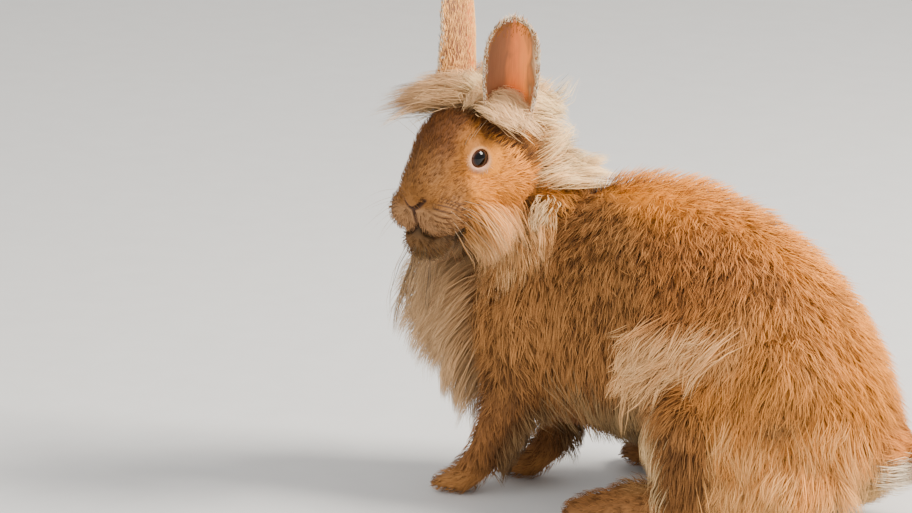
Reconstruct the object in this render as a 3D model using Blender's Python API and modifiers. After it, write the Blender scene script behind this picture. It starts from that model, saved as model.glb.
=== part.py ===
"""Lionhead rabbit, life size, sitting up on its front legs with its head turned to its left.

Metres, +Z up. The rabbit looks along -X, its left side is towards -Y, and its soles rest on z = 0.
"""

import math
import random

import bmesh
import bpy
from mathutils import Matrix, Vector
from mathutils.bvhtree import BVHTree

# Driving dimensions of the animal, coat included
GAP = 0.0003
RUMP_X = 0.262
FOREFOOT_SPREAD = 0.040
HINDFOOT_SPREAD = 0.122
HAUNCH_WIDTH = 0.138
TAIL_LENGTH = 0.042
EAR_LENGTH = 0.086
EAR_WIDTH = 0.0350
EAR_THICKNESS = 0.0022
EYE_RADIUS = 0.0078
LID_RADIUS = 0.0060
LID_HEIGHT = 0.0052
LID_THICKNESS = 0.0017
GROOVE_RADIUS = 0.0009

# The trunk from the chest to the rump: x, top, bottom and half width of its cross sections
TRUNK = (
    (-0.026, 0.133, 0.123, 0.000),
    (-0.021, 0.150, 0.104, 0.017),
    (-0.008, 0.163, 0.083, 0.031),
    (0.009, 0.171, 0.062, 0.041),
    (0.030, 0.174, 0.044, 0.047),
    (0.055, 0.177, 0.038, 0.049),
    (0.080, 0.190, 0.037, 0.052),
    (0.108, 0.196, 0.037, 0.057),
    (0.140, 0.194, 0.036, 0.062),
    (0.174, 0.182, 0.026, 0.066),
    (0.206, 0.161, 0.012, 0.064),
    (0.231, 0.134, 0.009, 0.055),
    (0.249, 0.103, 0.012, 0.041),
    (0.259, 0.075, 0.022, 0.025),
    (RUMP_X, 0.052, 0.044, 0.000),
)

# Pose of the head: where its middle is, its turn to the left and its nod down
HEAD_AT = Vector((0.0083, -0.034, 0.2064))
HEAD_TURN = math.radians(71)
HEAD_NOD = math.radians(16)

# Fineness of the flesh
BODY_VOXEL = 0.0060
HEAD_VOXEL = 0.0030
BODY_FACES = 2300
HEAD_FACES = 1300
CUTTER_FACES = 130
TAIL_FACES = 110
FLAT_ANGLES = (math.radians(1.5), math.radians(1.0), math.radians(0.4), math.radians(0.1))
SHARP_ANGLE = math.radians(50)
SHORT_EDGE = 0.00003

# Locks of hair: length, width, thickness, how far the middle and the tip stand off the flesh as
# shares of the length, and how freely they hang: 0 along the flesh, 1 the way that they are sent
FORELOCK = (0.036, 0.0140, 0.0030, 0.20, 0.16, 0.3)
RUFF = (0.042, 0.0190, 0.0034, 0.16, 0.20, 0.3)
CHEEK = (0.050, 0.0185, 0.0034, 0.12, 0.10, 0.6)
THROAT = (0.036, 0.0150, 0.0034, 0.12, 0.12, 0.6)
NAPE = (0.038, 0.0200, 0.0034, 0.15, 0.18, 0.1)
BIB = (0.046, 0.0210, 0.0036, 0.22, 0.26, 0.3)
FLANK = (0.052, 0.0180, 0.0034, 0.12, 0.11, 0.1)
SKIRT = (0.046, 0.0210, 0.0036, 0.15, 0.12, 0.5)
PLUME = (0.034, 0.0160, 0.0034, 0.16, 0.12, 0.2)
LOCK_RINGS = 4
ROOT_DEPTH = 0.004
CLEARANCE = 0.0012
RAISED = (0.0, 0.002, 0.004, 0.006, 0.008)
MOST_CROSSED = 12
SEED = 7

# Sides of the animal: the sign of y in the world for the body
LEFT, RIGHT = -1, 1
SIDE_NAME = {LEFT: "left", RIGHT: "right"}
FORELEG_REACH = {LEFT: 0.000, RIGHT: 0.029}
EAR_ROOT = (-0.0204, 0.0152, 0.008)
EAR_TURN = {LEFT: math.radians(40), RIGHT: math.radians(82)}
EAR_LEAN = {LEFT: (0.16, 0.395), RIGHT: (-0.38, 0.14)}
EYE_AT = Vector((0.0125, 0.0155, 0.0095))
EYE_AXIS = Vector((0.30, 0.94, 0.12)).normalized()

# Where two pieces cross, the one named first here stays whole
KEPT_WHOLE = (
    "eye", "ear", "forepaw", "foreleg", "hindfoot", "head", "torso", "chest", "neck", "thigh", "rump", "tail"
)

# Colour and roughness of the pieces that differ from the orange-brown fur
COATS = {
    "fur": ((0.50, 0.24, 0.09), 0.85),
    "chest": ((0.48, 0.32, 0.19), 0.85),
    "neck": ((0.70, 0.52, 0.36), 0.85),
    "tail": ((0.74, 0.56, 0.40), 0.85),
    "ear_left": ((0.60, 0.28, 0.14), 0.75),
    "ear_right": ((0.60, 0.28, 0.14), 0.75),
    "eye_left": ((0.03, 0.012, 0.008), 0.08),
    "eye_right": ((0.03, 0.012, 0.008), 0.08),
}


def clear_scene():
    for old in list(bpy.data.objects):
        bpy.data.objects.remove(old)


def collection(name):
    made = bpy.data.collections.new(name)
    bpy.context.scene.collection.children.link(made)
    return made


def coat(name, colour, roughness=0.85):
    """A Principled material of one plain colour."""
    made = bpy.data.materials.new(name)
    made.use_nodes = True
    shader = made.node_tree.nodes["Principled BSDF"]
    shader.inputs["Base Color"].default_value = (*colour, 1.0)
    shader.inputs["Roughness"].default_value = roughness
    shader.inputs["Metallic"].default_value = 0.0
    return made


def object_from(name, bm, home):
    """Closes a bmesh into a named object in a collection."""
    mesh = bpy.data.meshes.new(name)
    bm.to_mesh(mesh)
    bm.free()
    made = bpy.data.objects.new(name, mesh)
    home.objects.link(made)
    return made


def split_to_triangles(mesh):
    bm = bmesh.new()
    bm.from_mesh(mesh)
    bmesh.ops.triangulate(bm, faces=bm.faces)
    bm.to_mesh(mesh)
    bm.free()
    return mesh


def settle(obj):
    """Replaces an object's mesh by what its modifiers make of it, in triangles.

    A bent four-sided face could be split one way by a cutter and the other way by the piece.
    """
    bpy.context.view_layer.update()
    graph = bpy.context.evaluated_depsgraph_get()
    mesh = split_to_triangles(bpy.data.meshes.new_from_object(obj.evaluated_get(graph)))
    obj.modifiers.clear()
    old = obj.data
    obj.data = mesh
    mesh.name = obj.name
    bpy.data.meshes.remove(old)
    return obj


def combine(obj, operation, other):
    """Cuts or intersects an object with one other, which is left in place.

    The exact solver takes these dense curved meshes for open ones here and there.
    """
    step = obj.modifiers.new("combine", "BOOLEAN")
    step.operation = operation
    step.object = other
    step.solver = "MANIFOLD"
    return settle(obj)


def copy_of(obj, name, home):
    made = bpy.data.objects.new(name, obj.data.copy())
    home.objects.link(made)
    return made


def discard(*objects):
    for obj in objects:
        bpy.data.objects.remove(obj)


def surface(obj):
    """The skin of an object, for rays, nearest points and crossings."""
    bpy.context.view_layer.update()
    return BVHTree.FromObject(obj, bpy.context.evaluated_depsgraph_get())


def grown(obj, by, home):
    """A copy of an object with its surface moved outwards."""
    made = copy_of(obj, obj.name + "_grown", home)
    swell = made.modifiers.new("swell", "DISPLACE")
    swell.strength = by
    swell.mid_level = 0.0
    return settle(made)


def clear_of(obj, other, home, gap=GAP):
    """Cuts an object back from its neighbour, with the gap that touching pieces keep.

    Where the grown copy folds in at a crease, the neighbour itself cuts what still crosses it.
    """
    cutter = grown(other, gap, home)
    combine(obj, "DIFFERENCE", cutter)
    if surface(obj).overlap(surface(other)):
        combine(obj, "DIFFERENCE", other)
    discard(cutter)
    return largest_only(obj)


def largest_only(obj):
    """Keeps the largest closed surface of an object."""
    bm = bmesh.new()
    bm.from_mesh(obj.data)
    islands = []
    waiting = set(bm.verts)
    while waiting:
        island = {waiting.pop()}
        edge = list(island)
        while edge:
            vertex = edge.pop()
            for link in vertex.link_edges:
                other = link.other_vert(vertex)
                if other in waiting:
                    waiting.remove(other)
                    island.add(other)
                    edge.append(other)
        islands.append(island)
    islands.sort(key=len, reverse=True)
    loose = [vertex for island in islands[1:] for vertex in island]
    bmesh.ops.delete(bm, geom=loose, context="VERTS")
    bm.to_mesh(obj.data)
    bm.free()
    return obj


# Blobs, tapered limbs and the trunk, which are melted into one flesh


def blob(bm, centre, radii, pitch=0.0):
    """An ellipsoid of flesh. Pitch lowers its -X end, in degrees."""
    place = (
        Matrix.Translation(centre)
        @ Matrix.Rotation(math.radians(-pitch), 4, "Y")
        @ Matrix.Diagonal((*radii, 1.0))
    )
    bmesh.ops.create_icosphere(bm, subdivisions=3, radius=1.0, matrix=place)


def limb(bm, points, radii, extra=0.0):
    """A tapered limb along a few joints, made of overlapping balls."""
    for (a, b), (ra, rb) in zip(zip(points, points[1:]), zip(radii, radii[1:])):
        count = max(2, math.ceil((Vector(b) - Vector(a)).length / (0.5 * min(ra, rb))))
        for i in range(count + 1):
            share = i / count
            radius = ra + (rb - ra) * share + extra
            blob(bm, Vector(a).lerp(Vector(b), share), (radius, radius, radius))


def station(share):
    """The cross section of the trunk at a share of its length."""
    along = share * (len(TRUNK) - 1)
    first = min(int(along), len(TRUNK) - 2)
    rest = along - first
    return [a + (b - a) * rest for a, b in zip(TRUNK[first], TRUNK[first + 1])]


def trunk_masses(bm):
    """A ball whose rings are moved to the cross sections of the trunk, wider low down."""
    turn = Matrix.Rotation(math.radians(-90), 4, "Y")
    rings = 3 * (len(TRUNK) - 1)
    made = bmesh.ops.create_uvsphere(bm, u_segments=28, v_segments=rings, radius=1.0, matrix=turn)
    for vertex in made["verts"]:
        share = math.acos(max(-1.0, min(1.0, -vertex.co.x))) / math.pi
        x, top, bottom, half = station(share)
        ring = math.hypot(vertex.co.y, vertex.co.z)
        across, height = (vertex.co.y / ring, vertex.co.z / ring) if ring > 1e-6 else (0.0, 0.0)
        middle = (top + bottom) / 2
        vertex.co = (x, half * across * (1 - 0.14 * height), middle + (top - bottom) / 2 * height)


def melt(obj, voxel, faces, passes=6):
    """Melts overlapping masses into one smooth skin and thins it to about so many triangles."""
    remesh = obj.modifiers.new("melt", "REMESH")
    remesh.mode = "VOXEL"
    remesh.voxel_size = voxel
    smooth = obj.modifiers.new("smooth", "SMOOTH")
    smooth.factor = 0.6
    smooth.iterations = passes
    settle(obj)
    thin = obj.modifiers.new("thin", "DECIMATE")
    thin.ratio = min(1.0, faces / (2 * len(obj.data.polygons)))
    return settle(obj)


# Locks of hair, which are set on the flesh along the lie of the coat and fused with it


def turned_aside(lie, normal, angle):
    return Matrix.Rotation(angle, 3, normal) @ lie


def spread(low, high, count):
    """Evenly spaced values from low to high."""
    return [low + (high - low) * i / (count - 1) for i in range(count)]


def moved_clear(place, skins, height):
    """A point moved out of any flesh that it lies in or closer to than a height."""
    for skin in skins:
        near, normal = skin.find_nearest(place, 0.012)[:2]
        if near and (place - near).dot(normal) < height:
            place = near + normal * height
    return place


def lock_line(root, normal, lie, size, raised, skins):
    """The middle line of a lock: shares of its length and places, from its sunk root to its tip."""
    length, width, thickness, lift, stand, hang = size
    flat_lie = (lie - normal * lie.dot(normal)).normalized()
    way = flat_lie.lerp(lie, hang)
    start = root - normal * ROOT_DEPTH
    middle = root + flat_lie.lerp(way, 0.5) * (0.45 * length) + normal * (lift * length + raised)
    tip = root + way * length + normal * (stand * length + raised)
    line = []
    for ring in range(LOCK_RINGS + 1):
        share = (ring / LOCK_RINGS) ** 1.2
        place = start * (1 - share) ** 2 + middle * (2 * share * (1 - share)) + tip * share**2
        if ring > 1:
            height = thickness * (1.0 - 0.5 * share) + CLEARANCE + raised * share
            place = moved_clear(moved_clear(place, skins, height), skins, height)
        line.append((share, place))
    return line


def lock(line, across, width, thickness):
    """A flat tapered lock: a four-sided ball whose rings are set along a bent line."""
    bm = bmesh.new()
    bmesh.ops.create_uvsphere(bm, u_segments=4, v_segments=LOCK_RINGS, radius=1.0)
    for vertex in bm.verts:
        ring = round(math.acos(max(-1.0, min(1.0, -vertex.co.z))) / math.pi * LOCK_RINGS)
        share, place = line[ring]
        if 0 < ring < LOCK_RINGS:
            along = (line[ring + 1][1] - line[ring - 1][1]).normalized()
            radius = math.hypot(vertex.co.x, vertex.co.y)
            swell = min(1.0, 1.3 * (1 - share) ** 0.7)
            place = place + across * (vertex.co.x / radius * width / 2 * swell)
            place = place + along.cross(across) * (vertex.co.y / radius * thickness / 2 * swell)
        vertex.co = place
    bmesh.ops.triangulate(bm, faces=bm.faces)
    return bm


def lay_lock(root, normal, lie, size, skins, laid, home):
    """Sets one lock over those already laid, raised until it crosses none or as few as can be."""
    across = normal.cross(lie).normalized()
    tries = []
    for raised in RAISED:
        bm = lock(lock_line(root, normal, lie, size, raised, skins), across, size[1], size[2])
        skin = BVHTree.FromBMesh(bm)
        crossed = sum(len(skin.overlap(other)) for other in laid)
        tries.append((crossed, len(tries), bm, skin))
        if crossed == 0:
            break
    crossed, _, bm, skin = min(tries)
    if crossed <= MOST_CROSSED:
        laid.append(skin)
        object_from("lock", bm, home)


def set_locks(node, starts, size, rng, skins, laid, home):
    """Grows one lock where each ray from outside first meets the flesh, if that is this node's.

    A start is a point outside, the way from it to the flesh, the lie of the hair and a share of
    the full length.
    """
    own = surface(node)
    for origin, towards, lie, share in starts:
        towards = towards.normalized()
        root, normal = own.ray_cast(origin, towards)[:2]
        hits = [hit for skin in skins if (hit := skin.ray_cast(origin, towards)[3])]
        if root is None or (root - origin).length > min(hits) + 0.002:
            continue
        length, width, *shape = size
        varied = (length * share * rng.uniform(0.88, 1.12), width * rng.uniform(0.90, 1.10), *shape)
        way = turned_aside(lie.normalized(), normal, math.radians(rng.uniform(-7, 7)))
        lay_lock(root, normal, way, varied, skins, laid, home)


def fuse(node, home):
    """Joins the locks of a collection to their node and empties the collection."""
    step = node.modifiers.new("fuse", "BOOLEAN")
    step.operation = "UNION"
    step.operand_type = "COLLECTION"
    step.collection = home
    step.solver = "MANIFOLD"
    settle(node)
    discard(*home.objects)
    return largest_only(node)


def neck_masses(bm):
    limb(bm, [(0.042, 0.000, 0.138), (0.030, -0.002, 0.180)], [0.042, 0.030])
    blob(bm, (0.052, 0.000, 0.176), (0.026, 0.032, 0.022))


def foreleg_joints(side):
    """Elbow, wrist, knuckles and toes. The left leg reaches further forward than the right."""
    reach = FORELEG_REACH[side]
    half = FOREFOOT_SPREAD / 2
    elbow = Vector((0.036 + 0.6 * reach, side * 0.028, 0.068))
    wrist = Vector((0.014 + reach, side * (half + 0.003), 0.023))
    knuckles = Vector((0.001 + reach, side * half, 0.0085))
    toes = Vector((-0.012 + 0.95 * reach, side * half, 0.0060))
    return [elbow, wrist, knuckles, toes], [0.0205, 0.0138, 0.0122, 0.0090]


def foreleg_masses(bm, side):
    joints, radii = foreleg_joints(side)
    shoulder = Vector((0.042, side * 0.030, 0.104))
    limb(bm, [shoulder, *joints], [0.028, *radii])


def thigh_joints(side):
    haunch = HAUNCH_WIDTH / 2
    hip = Vector((0.196, side * (haunch - 0.034), 0.092))
    knee = Vector((0.141, side * (haunch - 0.027), 0.068))
    hock = Vector((0.180, side * (haunch - 0.022), 0.034))
    return [hip, knee, hock], [0.036, 0.027, 0.021]


def thigh_masses(bm, side):
    joints, radii = thigh_joints(side)
    limb(bm, joints, radii)
    blob(bm, (0.170, joints[0].y, 0.070), (0.056, 0.034, 0.050), pitch=-16)
    limb(bm, [(0.146, side * 0.050, 0.062), (0.149, side * 0.052, 0.026)], [0.026, 0.023])
    blob(bm, (0.196, side * 0.040, 0.038), (0.044, 0.028, 0.030))


def hindfoot_joints(side):
    half = HINDFOOT_SPREAD / 2
    heel = Vector((0.174, side * (half - 0.010), 0.016))
    instep = Vector((0.112, side * half, 0.0135))
    toes = Vector((0.082, side * half, 0.0110))
    return [heel, instep, toes], [0.0165, 0.0150, 0.0118]


def hindfoot_masses(bm, side):
    limb(bm, *hindfoot_joints(side))


def tail_masses(bm):
    root = Vector((RUMP_X - 0.020, 0.000, 0.042))
    tip = root + Vector((0.98, 0.10, -0.05)).normalized() * TAIL_LENGTH
    limb(bm, [root, root.lerp(tip, 0.5), tip], [0.016, 0.020, 0.015])


def cube(name, centre, size, home, turn=None):
    bm = bmesh.new()
    place = Matrix.Translation(centre) @ (turn or Matrix.Identity(4)) @ Matrix.Diagonal((*size, 1.0))
    bmesh.ops.create_cube(bm, size=1.0, matrix=place)
    return object_from(name, bm, home)


def level_sole(obj, tools):
    """Cuts a piece flat where it stands on z = 0."""
    ground = cube("ground", (0, 0, -0.5), (2, 2, 1), tools)
    combine(obj, "DIFFERENCE", ground)
    discard(ground)
    return obj


def flesh(name, builders, home, voxel, faces, passes=6):
    bm = bmesh.new()
    for build, *more in builders:
        build(bm, *more)
    return melt(object_from(name, bm, home), voxel, faces, passes)


def part_off(whole, cutter, name, parts, tools):
    """Cuts one named piece out of the whole and leaves the gap between the two."""
    piece = copy_of(whole, name, parts)
    combine(piece, "INTERSECT", cutter)
    wide = grown(cutter, GAP, tools)
    combine(whole, "DIFFERENCE", wide)
    discard(cutter, wide)
    largest_only(whole)
    return largest_only(piece)


def part_at(whole, point, normal, name, parts, tools):
    """Cuts off what lies beyond a plane, as a piece of its own."""
    normal = Vector(normal).normalized()
    turn = normal.to_track_quat("Z", "Y").to_matrix().to_4x4()
    beyond = cube("beyond", Vector(point) + normal * 0.5, (1, 1, 1), tools, turn)
    return part_off(whole, beyond, name, parts, tools)


def thigh_cutter(side, tools):
    """The round of the haunch down to the hock, cut out of the flank to a third of its depth."""
    bm = bmesh.new()
    blob(bm, (0.178, side * 0.058, 0.080), (0.054, 0.034, 0.056))
    blob(bm, (0.158, side * 0.058, 0.044), (0.040, 0.032, 0.040))
    return melt(object_from("thigh_cutter", bm, tools), BODY_VOXEL, CUTTER_FACES, 4)


def neck_cutter(tools):
    """A ball round the neck and the nape, whose lower side is the joint with the chest."""
    bm = bmesh.new()
    blob(bm, (0.027, 0.002, 0.207), (0.052, 0.062, 0.055))
    return object_from("neck_cutter", bm, tools)


def limb_cutter(joints, radii, extra, tools):
    """A limb a little thicker than the flesh, to cut the flesh out with."""
    bm = bmesh.new()
    limb(bm, joints, radii, extra)
    return melt(object_from("limb_cutter", bm, tools), BODY_VOXEL, CUTTER_FACES, 4)


# The head, in its own frame: +x to the nose, +y to its left, +z up


def head_frame():
    turn = Matrix.Rotation(math.pi + HEAD_TURN, 4, "Z")
    nod = Matrix.Rotation(HEAD_NOD, 4, "Y")
    return Matrix.Translation(HEAD_AT) @ turn @ nod


def on_side(point, side):
    """A point of the head's left half, or its mirror on the right half."""
    return Vector((point[0], -side * point[1], point[2]))


def skull_masses(bm):
    blob(bm, (-0.016, 0, 0.006), (0.035, 0.0285, 0.029))
    blob(bm, (0.010, 0, 0.010), (0.028, 0.0230, 0.025))
    limb(bm, [(0.010, 0, 0.014), (0.043, 0, 0.003)], [0.0215, 0.0145])
    blob(bm, (0.0485, 0, -0.002), (0.0095, 0.0110, 0.0098))
    blob(bm, (0.034, 0, -0.011), (0.019, 0.0175, 0.016))
    blob(bm, (0.046, 0, -0.027), (0.0145, 0.0160, 0.0125))
    blob(bm, (0.016, 0, -0.024), (0.033, 0.0185, 0.017))
    for side in (LEFT, RIGHT):
        blob(bm, on_side((0.0410, 0.0112, -0.0105), side), (0.0145, 0.0135, 0.0125))
        blob(bm, on_side((-0.010, 0.0185, -0.007), side), (0.030, 0.0155, 0.027))
        blob(bm, on_side((0.012, 0.0145, 0.010), side), (0.0135, 0.0085, 0.0125))


def in_pose(frame, origin, towards, lie, share=1.0):
    """A lock's start that is given in a frame, moved into the world."""
    turn = frame.to_3x3()
    return frame @ Vector(origin), turn @ Vector(towards), turn @ Vector(lie), share


def forelock_starts(frame):
    """The tuft between the ears: forwards in the middle, and aside over the temples."""
    rows = ((0.002, 4, 0.016, 0.9), (-0.008, 5, 0.019, 1.05), (-0.019, 3, 0.008, 0.9))
    for x, count, reach, share in rows:
        for aside in spread(-1, 1, count):
            lie = (0.50 - 0.35 * abs(aside), 0.75 * aside, 0.0)
            yield in_pose(frame, (x, aside * reach, 0.1), (0, 0, -1), lie, share - 0.25 * max(0, aside))


def ruff_starts(frame):
    """The lion's mane round the back of the head, outwards and back."""
    for x, high, count, share in ((-0.046, 100, 5, 1.2), (-0.035, 120, 6, 1.1), (-0.022, 128, 6, 0.95)):
        for degrees in spread(-high, high, count):
            angle = math.radians(degrees)
            out = Vector((0, math.sin(angle), math.cos(angle)))
            lie = out * 0.35 + Vector((-0.80, 0, -0.30))
            yield in_pose(frame, Vector((x, 0, 0.002)) + out * 0.1, -out, lie, share)


def beard_starts(frame, side):
    """The long hair of the cheek, hanging down in front of the shoulder."""
    for z, low, high, share in ((-0.026, -0.016, 0.016, 0.9), (-0.016, -0.026, 0.012, 1.0)):
        for x in spread(low, high, 3):
            lie = on_side((0.20, 0.08, -0.97), side)
            yield in_pose(frame, on_side((x, 0.1, z), side), on_side((0, -1, 0), side), lie, share)


def throat_starts(frame):
    for x in (0.010, 0.026):
        for aside in (-1, 0, 1):
            start = (x + 0.025, 0.013 * aside, -0.070)
            yield in_pose(frame, start, (-0.5, 0, 0.86), (0.20, 0.25 * aside, -0.95), 1.0)


def nape_starts():
    """The mane over the neck, back and down over the shoulders."""
    for tilt, count in ((12, 7), (36, 6)):
        for degrees in spread(-110, 130, count):
            angle = math.radians(degrees + 0.4 * tilt)
            slope = math.radians(tilt)
            level = Vector((math.cos(angle), math.sin(angle), 0))
            out = level * math.cos(slope) + Vector((0, 0, math.sin(slope)))
            lie = Vector((0.55 * math.cos(angle) + 0.25, 0.55 * math.sin(angle), -0.80))
            yield Vector((0.036, 0.002, 0.172)) + out * 0.12, -out, lie, 0.9


def bib_starts():
    """The long hair of the breast, in rows that hang over one another."""
    for row in range(4):
        z = 0.088 + 0.023 * row
        for degrees in spread(-80, 80, 5 + row % 2):
            angle = math.radians(degrees)
            out = Vector((-math.cos(angle), math.sin(angle), 0))
            lie = Vector((-0.05 * row, 0.10 * math.sin(angle), -0.97))
            yield Vector((0.014, 0, z)) + out * 0.1, -out, lie, 0.80 + 0.07 * row


def flank_starts(side):
    """The cream locks of the flank, forwards and down across the front of the haunch."""
    for x, z, count, share in ((0.176, 0.104, 4, 0.95), (0.186, 0.124, 4, 1.0)):
        for along in spread(0.066, 0, count):
            start = Vector((x - along, 0.15 * side, z - 0.60 * along))
            yield start, Vector((0, -side, 0)), Vector((-0.80, 0.02 * side, -0.58)), share


def skirt_starts():
    """The fringe at the foot of the haunches and the rump, down to just above the floor."""
    for z, share, count in ((0.052, 0.8, 15), (0.070, 1.0, 16)):
        for degrees in spread(-152, 152, count):
            angle = math.radians(degrees)
            out = Vector((math.cos(angle), math.sin(angle), 0))
            lie = out * 0.12 + Vector((0, 0, -0.98))
            yield Vector((0.184, 0, z)) + out * 0.2, -out, lie, share


def plume_starts():
    """The long hair of the tail, towards its tip on all sides."""
    for row, (x, share) in enumerate(((0.277, 0.75), (0.266, 0.95), (0.254, 1.0))):
        for i in range(4):
            angle = math.tau * (i + 0.5 * (row % 2)) / 4
            out = Vector((0, math.cos(angle), math.sin(angle)))
            yield Vector((x, 0.002, 0.041)) + out * 0.08, -out, Vector((0.97, 0.08, -0.05)), share


def ear(side, parts):
    """A leaf of skin, wrapped into a tube at its root and opening to a cup above."""
    bm = bmesh.new()
    bmesh.ops.create_grid(bm, x_segments=6, y_segments=9, size=1.0)
    up = on_side((*EAR_LEAN[side], 1.0), side).normalized()
    facing = on_side((math.cos(EAR_TURN[side]), math.sin(EAR_TURN[side]), 0.0), side)
    opening = (facing - up * facing.dot(up)).normalized()
    across = up.cross(opening)
    root = on_side(EAR_ROOT, side)
    for vertex in bm.verts:
        share = (vertex.co.y + 1.0) / 2
        swell = 0.50 + 0.50 * math.sin(math.pi / 2 * min(1.0, share / 0.58))
        end = max(0.0, (share - 0.58) / 0.42)
        half = EAR_WIDTH / 2 * swell * (0.12 + 0.88 * math.sqrt(max(0.0, 1.0 - end ** 3.2)))
        wrap = math.radians(112 - 66 * min(1.0, share / 0.62))
        radius = half / math.sin(min(wrap, math.pi / 2))
        angle = vertex.co.x * wrap
        vertex.co = (
            root
            + up * (EAR_LENGTH * share)
            + across * (radius * math.sin(angle))
            + opening * (radius * (1 - math.cos(angle)) - 0.006)
        )
    bmesh.ops.recalc_face_normals(bm, faces=bm.faces)
    bmesh.ops.triangulate(bm, faces=bm.faces)
    made = object_from("ear_" + SIDE_NAME[side], bm, parts)
    wall = made.modifiers.new("wall", "SOLIDIFY")
    wall.thickness = EAR_THICKNESS
    wall.offset = 0.0
    return settle(made)


def eye(side, parts):
    bm = bmesh.new()
    place = Matrix.Translation(on_side(EYE_AT, side))
    bmesh.ops.create_uvsphere(bm, u_segments=14, v_segments=8, radius=EYE_RADIUS, matrix=place)
    bmesh.ops.triangulate(bm, faces=bm.faces)
    return object_from("eye_" + SIDE_NAME[side], bm, parts)


def eye_place(side):
    """A frame on the eye whose z points out of the socket."""
    turn = on_side(EYE_AXIS, side).to_track_quat("Z", "Y").to_matrix().to_4x4()
    return Matrix.Translation(on_side(EYE_AT, side)) @ turn


def lids(side, tools):
    """The rim of both eyelids, a ring round the bulge of the eye."""
    bm = bmesh.new()
    out = Matrix.Translation((LID_RADIUS, 0, LID_HEIGHT)) @ Matrix.Rotation(math.pi / 2, 4, "X")
    bmesh.ops.create_circle(bm, segments=6, radius=LID_THICKNESS, matrix=out)
    rim = bm.verts[:] + bm.edges[:]
    bmesh.ops.spin(bm, geom=rim, cent=(0, 0, 0), axis=(0, 0, 1), angle=math.tau, steps=14, use_merge=True)
    bmesh.ops.recalc_face_normals(bm, faces=bm.faces)
    bm.transform(eye_place(side))
    return object_from("lids", bm, tools)


def aperture(side, tools):
    """A short rod that opens the lids in front of the eye."""
    bm = bmesh.new()
    bmesh.ops.create_cone(
        bm, cap_ends=True, segments=14, radius1=LID_RADIUS - 0.0010, radius2=LID_RADIUS + 0.0006, depth=0.016
    )
    bm.transform(eye_place(side) @ Matrix.Translation((0, 0, 0.010)))
    return object_from("aperture", bm, tools)


def groove(head, path, radius, name, tools):
    """A thin four-sided rod that lies half sunk along a line on the front of the face.

    The path gives y and z; x is found where a ray from the front meets the face.
    """
    seen = BVHTree.FromObject(head, bpy.context.evaluated_depsgraph_get())
    points = []
    for y, z in path:
        hit = seen.ray_cast(Vector((0.1, y, z)), Vector((-1, 0, 0)))[0]
        points.append(hit)
    curve = bpy.data.curves.new(name, "CURVE")
    curve.dimensions = "3D"
    curve.bevel_depth = radius
    curve.bevel_resolution = 1
    curve.use_fill_caps = True
    spline = curve.splines.new("POLY")
    spline.points.add(len(points) - 1)
    for point, place in zip(spline.points, points):
        point.co = (*place, 1.0)
    line = bpy.data.objects.new(name, curve)
    tools.objects.link(line)
    bpy.context.view_layer.update()
    graph = bpy.context.evaluated_depsgraph_get()
    bm = bmesh.new()
    bm.from_mesh(bpy.data.meshes.new_from_object(line.evaluated_get(graph)))
    bmesh.ops.remove_doubles(bm, verts=bm.verts, dist=0.00001)
    discard(line)
    return object_from(name, bm, tools)


def face_lines():
    """The slits of the nostrils, the cleft under the nose and the line of the mouth, as y and z."""
    lines = [[(0.0, z) for z in (-0.0055, -0.0085, -0.0115, -0.0145)]]
    for side in (LEFT, RIGHT):
        lines.append([(side * y, z) for y, z in ((0.0008, -0.0046), (0.0036, -0.0030), (0.0060, 0.0002))])
        mouth = ((0.0002, -0.0142), (0.0050, -0.0172), (0.0100, -0.0188), (0.0140, -0.0182))
        lines.append([(side * y, z) for y, z in mouth])
    return lines


def carve_face(head, tools):
    for number, path in enumerate(face_lines()):
        rod = groove(head, path, GROOVE_RADIUS, f"groove_{number}", tools)
        combine(head, "DIFFERENCE", rod)
        discard(rod)
    return head


def build_head(parts, tools):
    """Head, eyes and ears in the frame of the head, then turned into the pose."""
    head = flesh("head", [(skull_masses,)], parts, HEAD_VOXEL, HEAD_FACES)
    carve_face(head, tools)
    pieces = {"head": head}
    for side in (LEFT, RIGHT):
        rim = lids(side, tools)
        hole = aperture(side, tools)
        ball = eye(side, parts)
        combine(head, "UNION", rim)
        combine(head, "DIFFERENCE", hole)
        clear_of(head, ball, tools)
        discard(rim, hole)
        leaf = ear(side, parts)
        clear_of(head, leaf, tools)
        pieces["eye_" + SIDE_NAME[side]] = ball
        pieces["ear_" + SIDE_NAME[side]] = leaf
    for piece in pieces.values():
        piece.data.transform(head_frame())
    return pieces


def split_body(body, parts, tools):
    """Parts the melted body into its named pieces, from the feet up."""
    pieces = {}
    for side in (LEFT, RIGHT):
        name = SIDE_NAME[side]
        cutter = limb_cutter(*hindfoot_joints(side), 0.0025, tools)
        pieces["hindfoot_" + name] = part_off(body, cutter, "hindfoot_" + name, parts, tools)
        cutter = thigh_cutter(side, tools)
        pieces["thigh_" + name] = part_off(body, cutter, "thigh_" + name, parts, tools)
        joints, radii = foreleg_joints(side)
        cutter = limb_cutter(joints, radii, 0.003, tools)
        leg = part_off(body, cutter, "foreleg_" + name, parts, tools)
        wrist = joints[1] - Vector((0.002, 0, 0.006))
        pieces["forepaw_" + name] = part_at(leg, wrist, (-0.75, 0, -0.66), "forepaw_" + name, parts, tools)
        pieces["foreleg_" + name] = leg
    pieces["neck"] = part_off(body, neck_cutter(tools), "neck", parts, tools)
    pieces["rump"] = part_at(body, (0.152, 0, 0.1), (1, 0, 0.15), "rump", parts, tools)
    pieces["torso"] = part_at(body, (0.062, 0, 0.1), (1, 0, 0.25), "torso", parts, tools)
    pieces["chest"] = body
    return pieces


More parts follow.
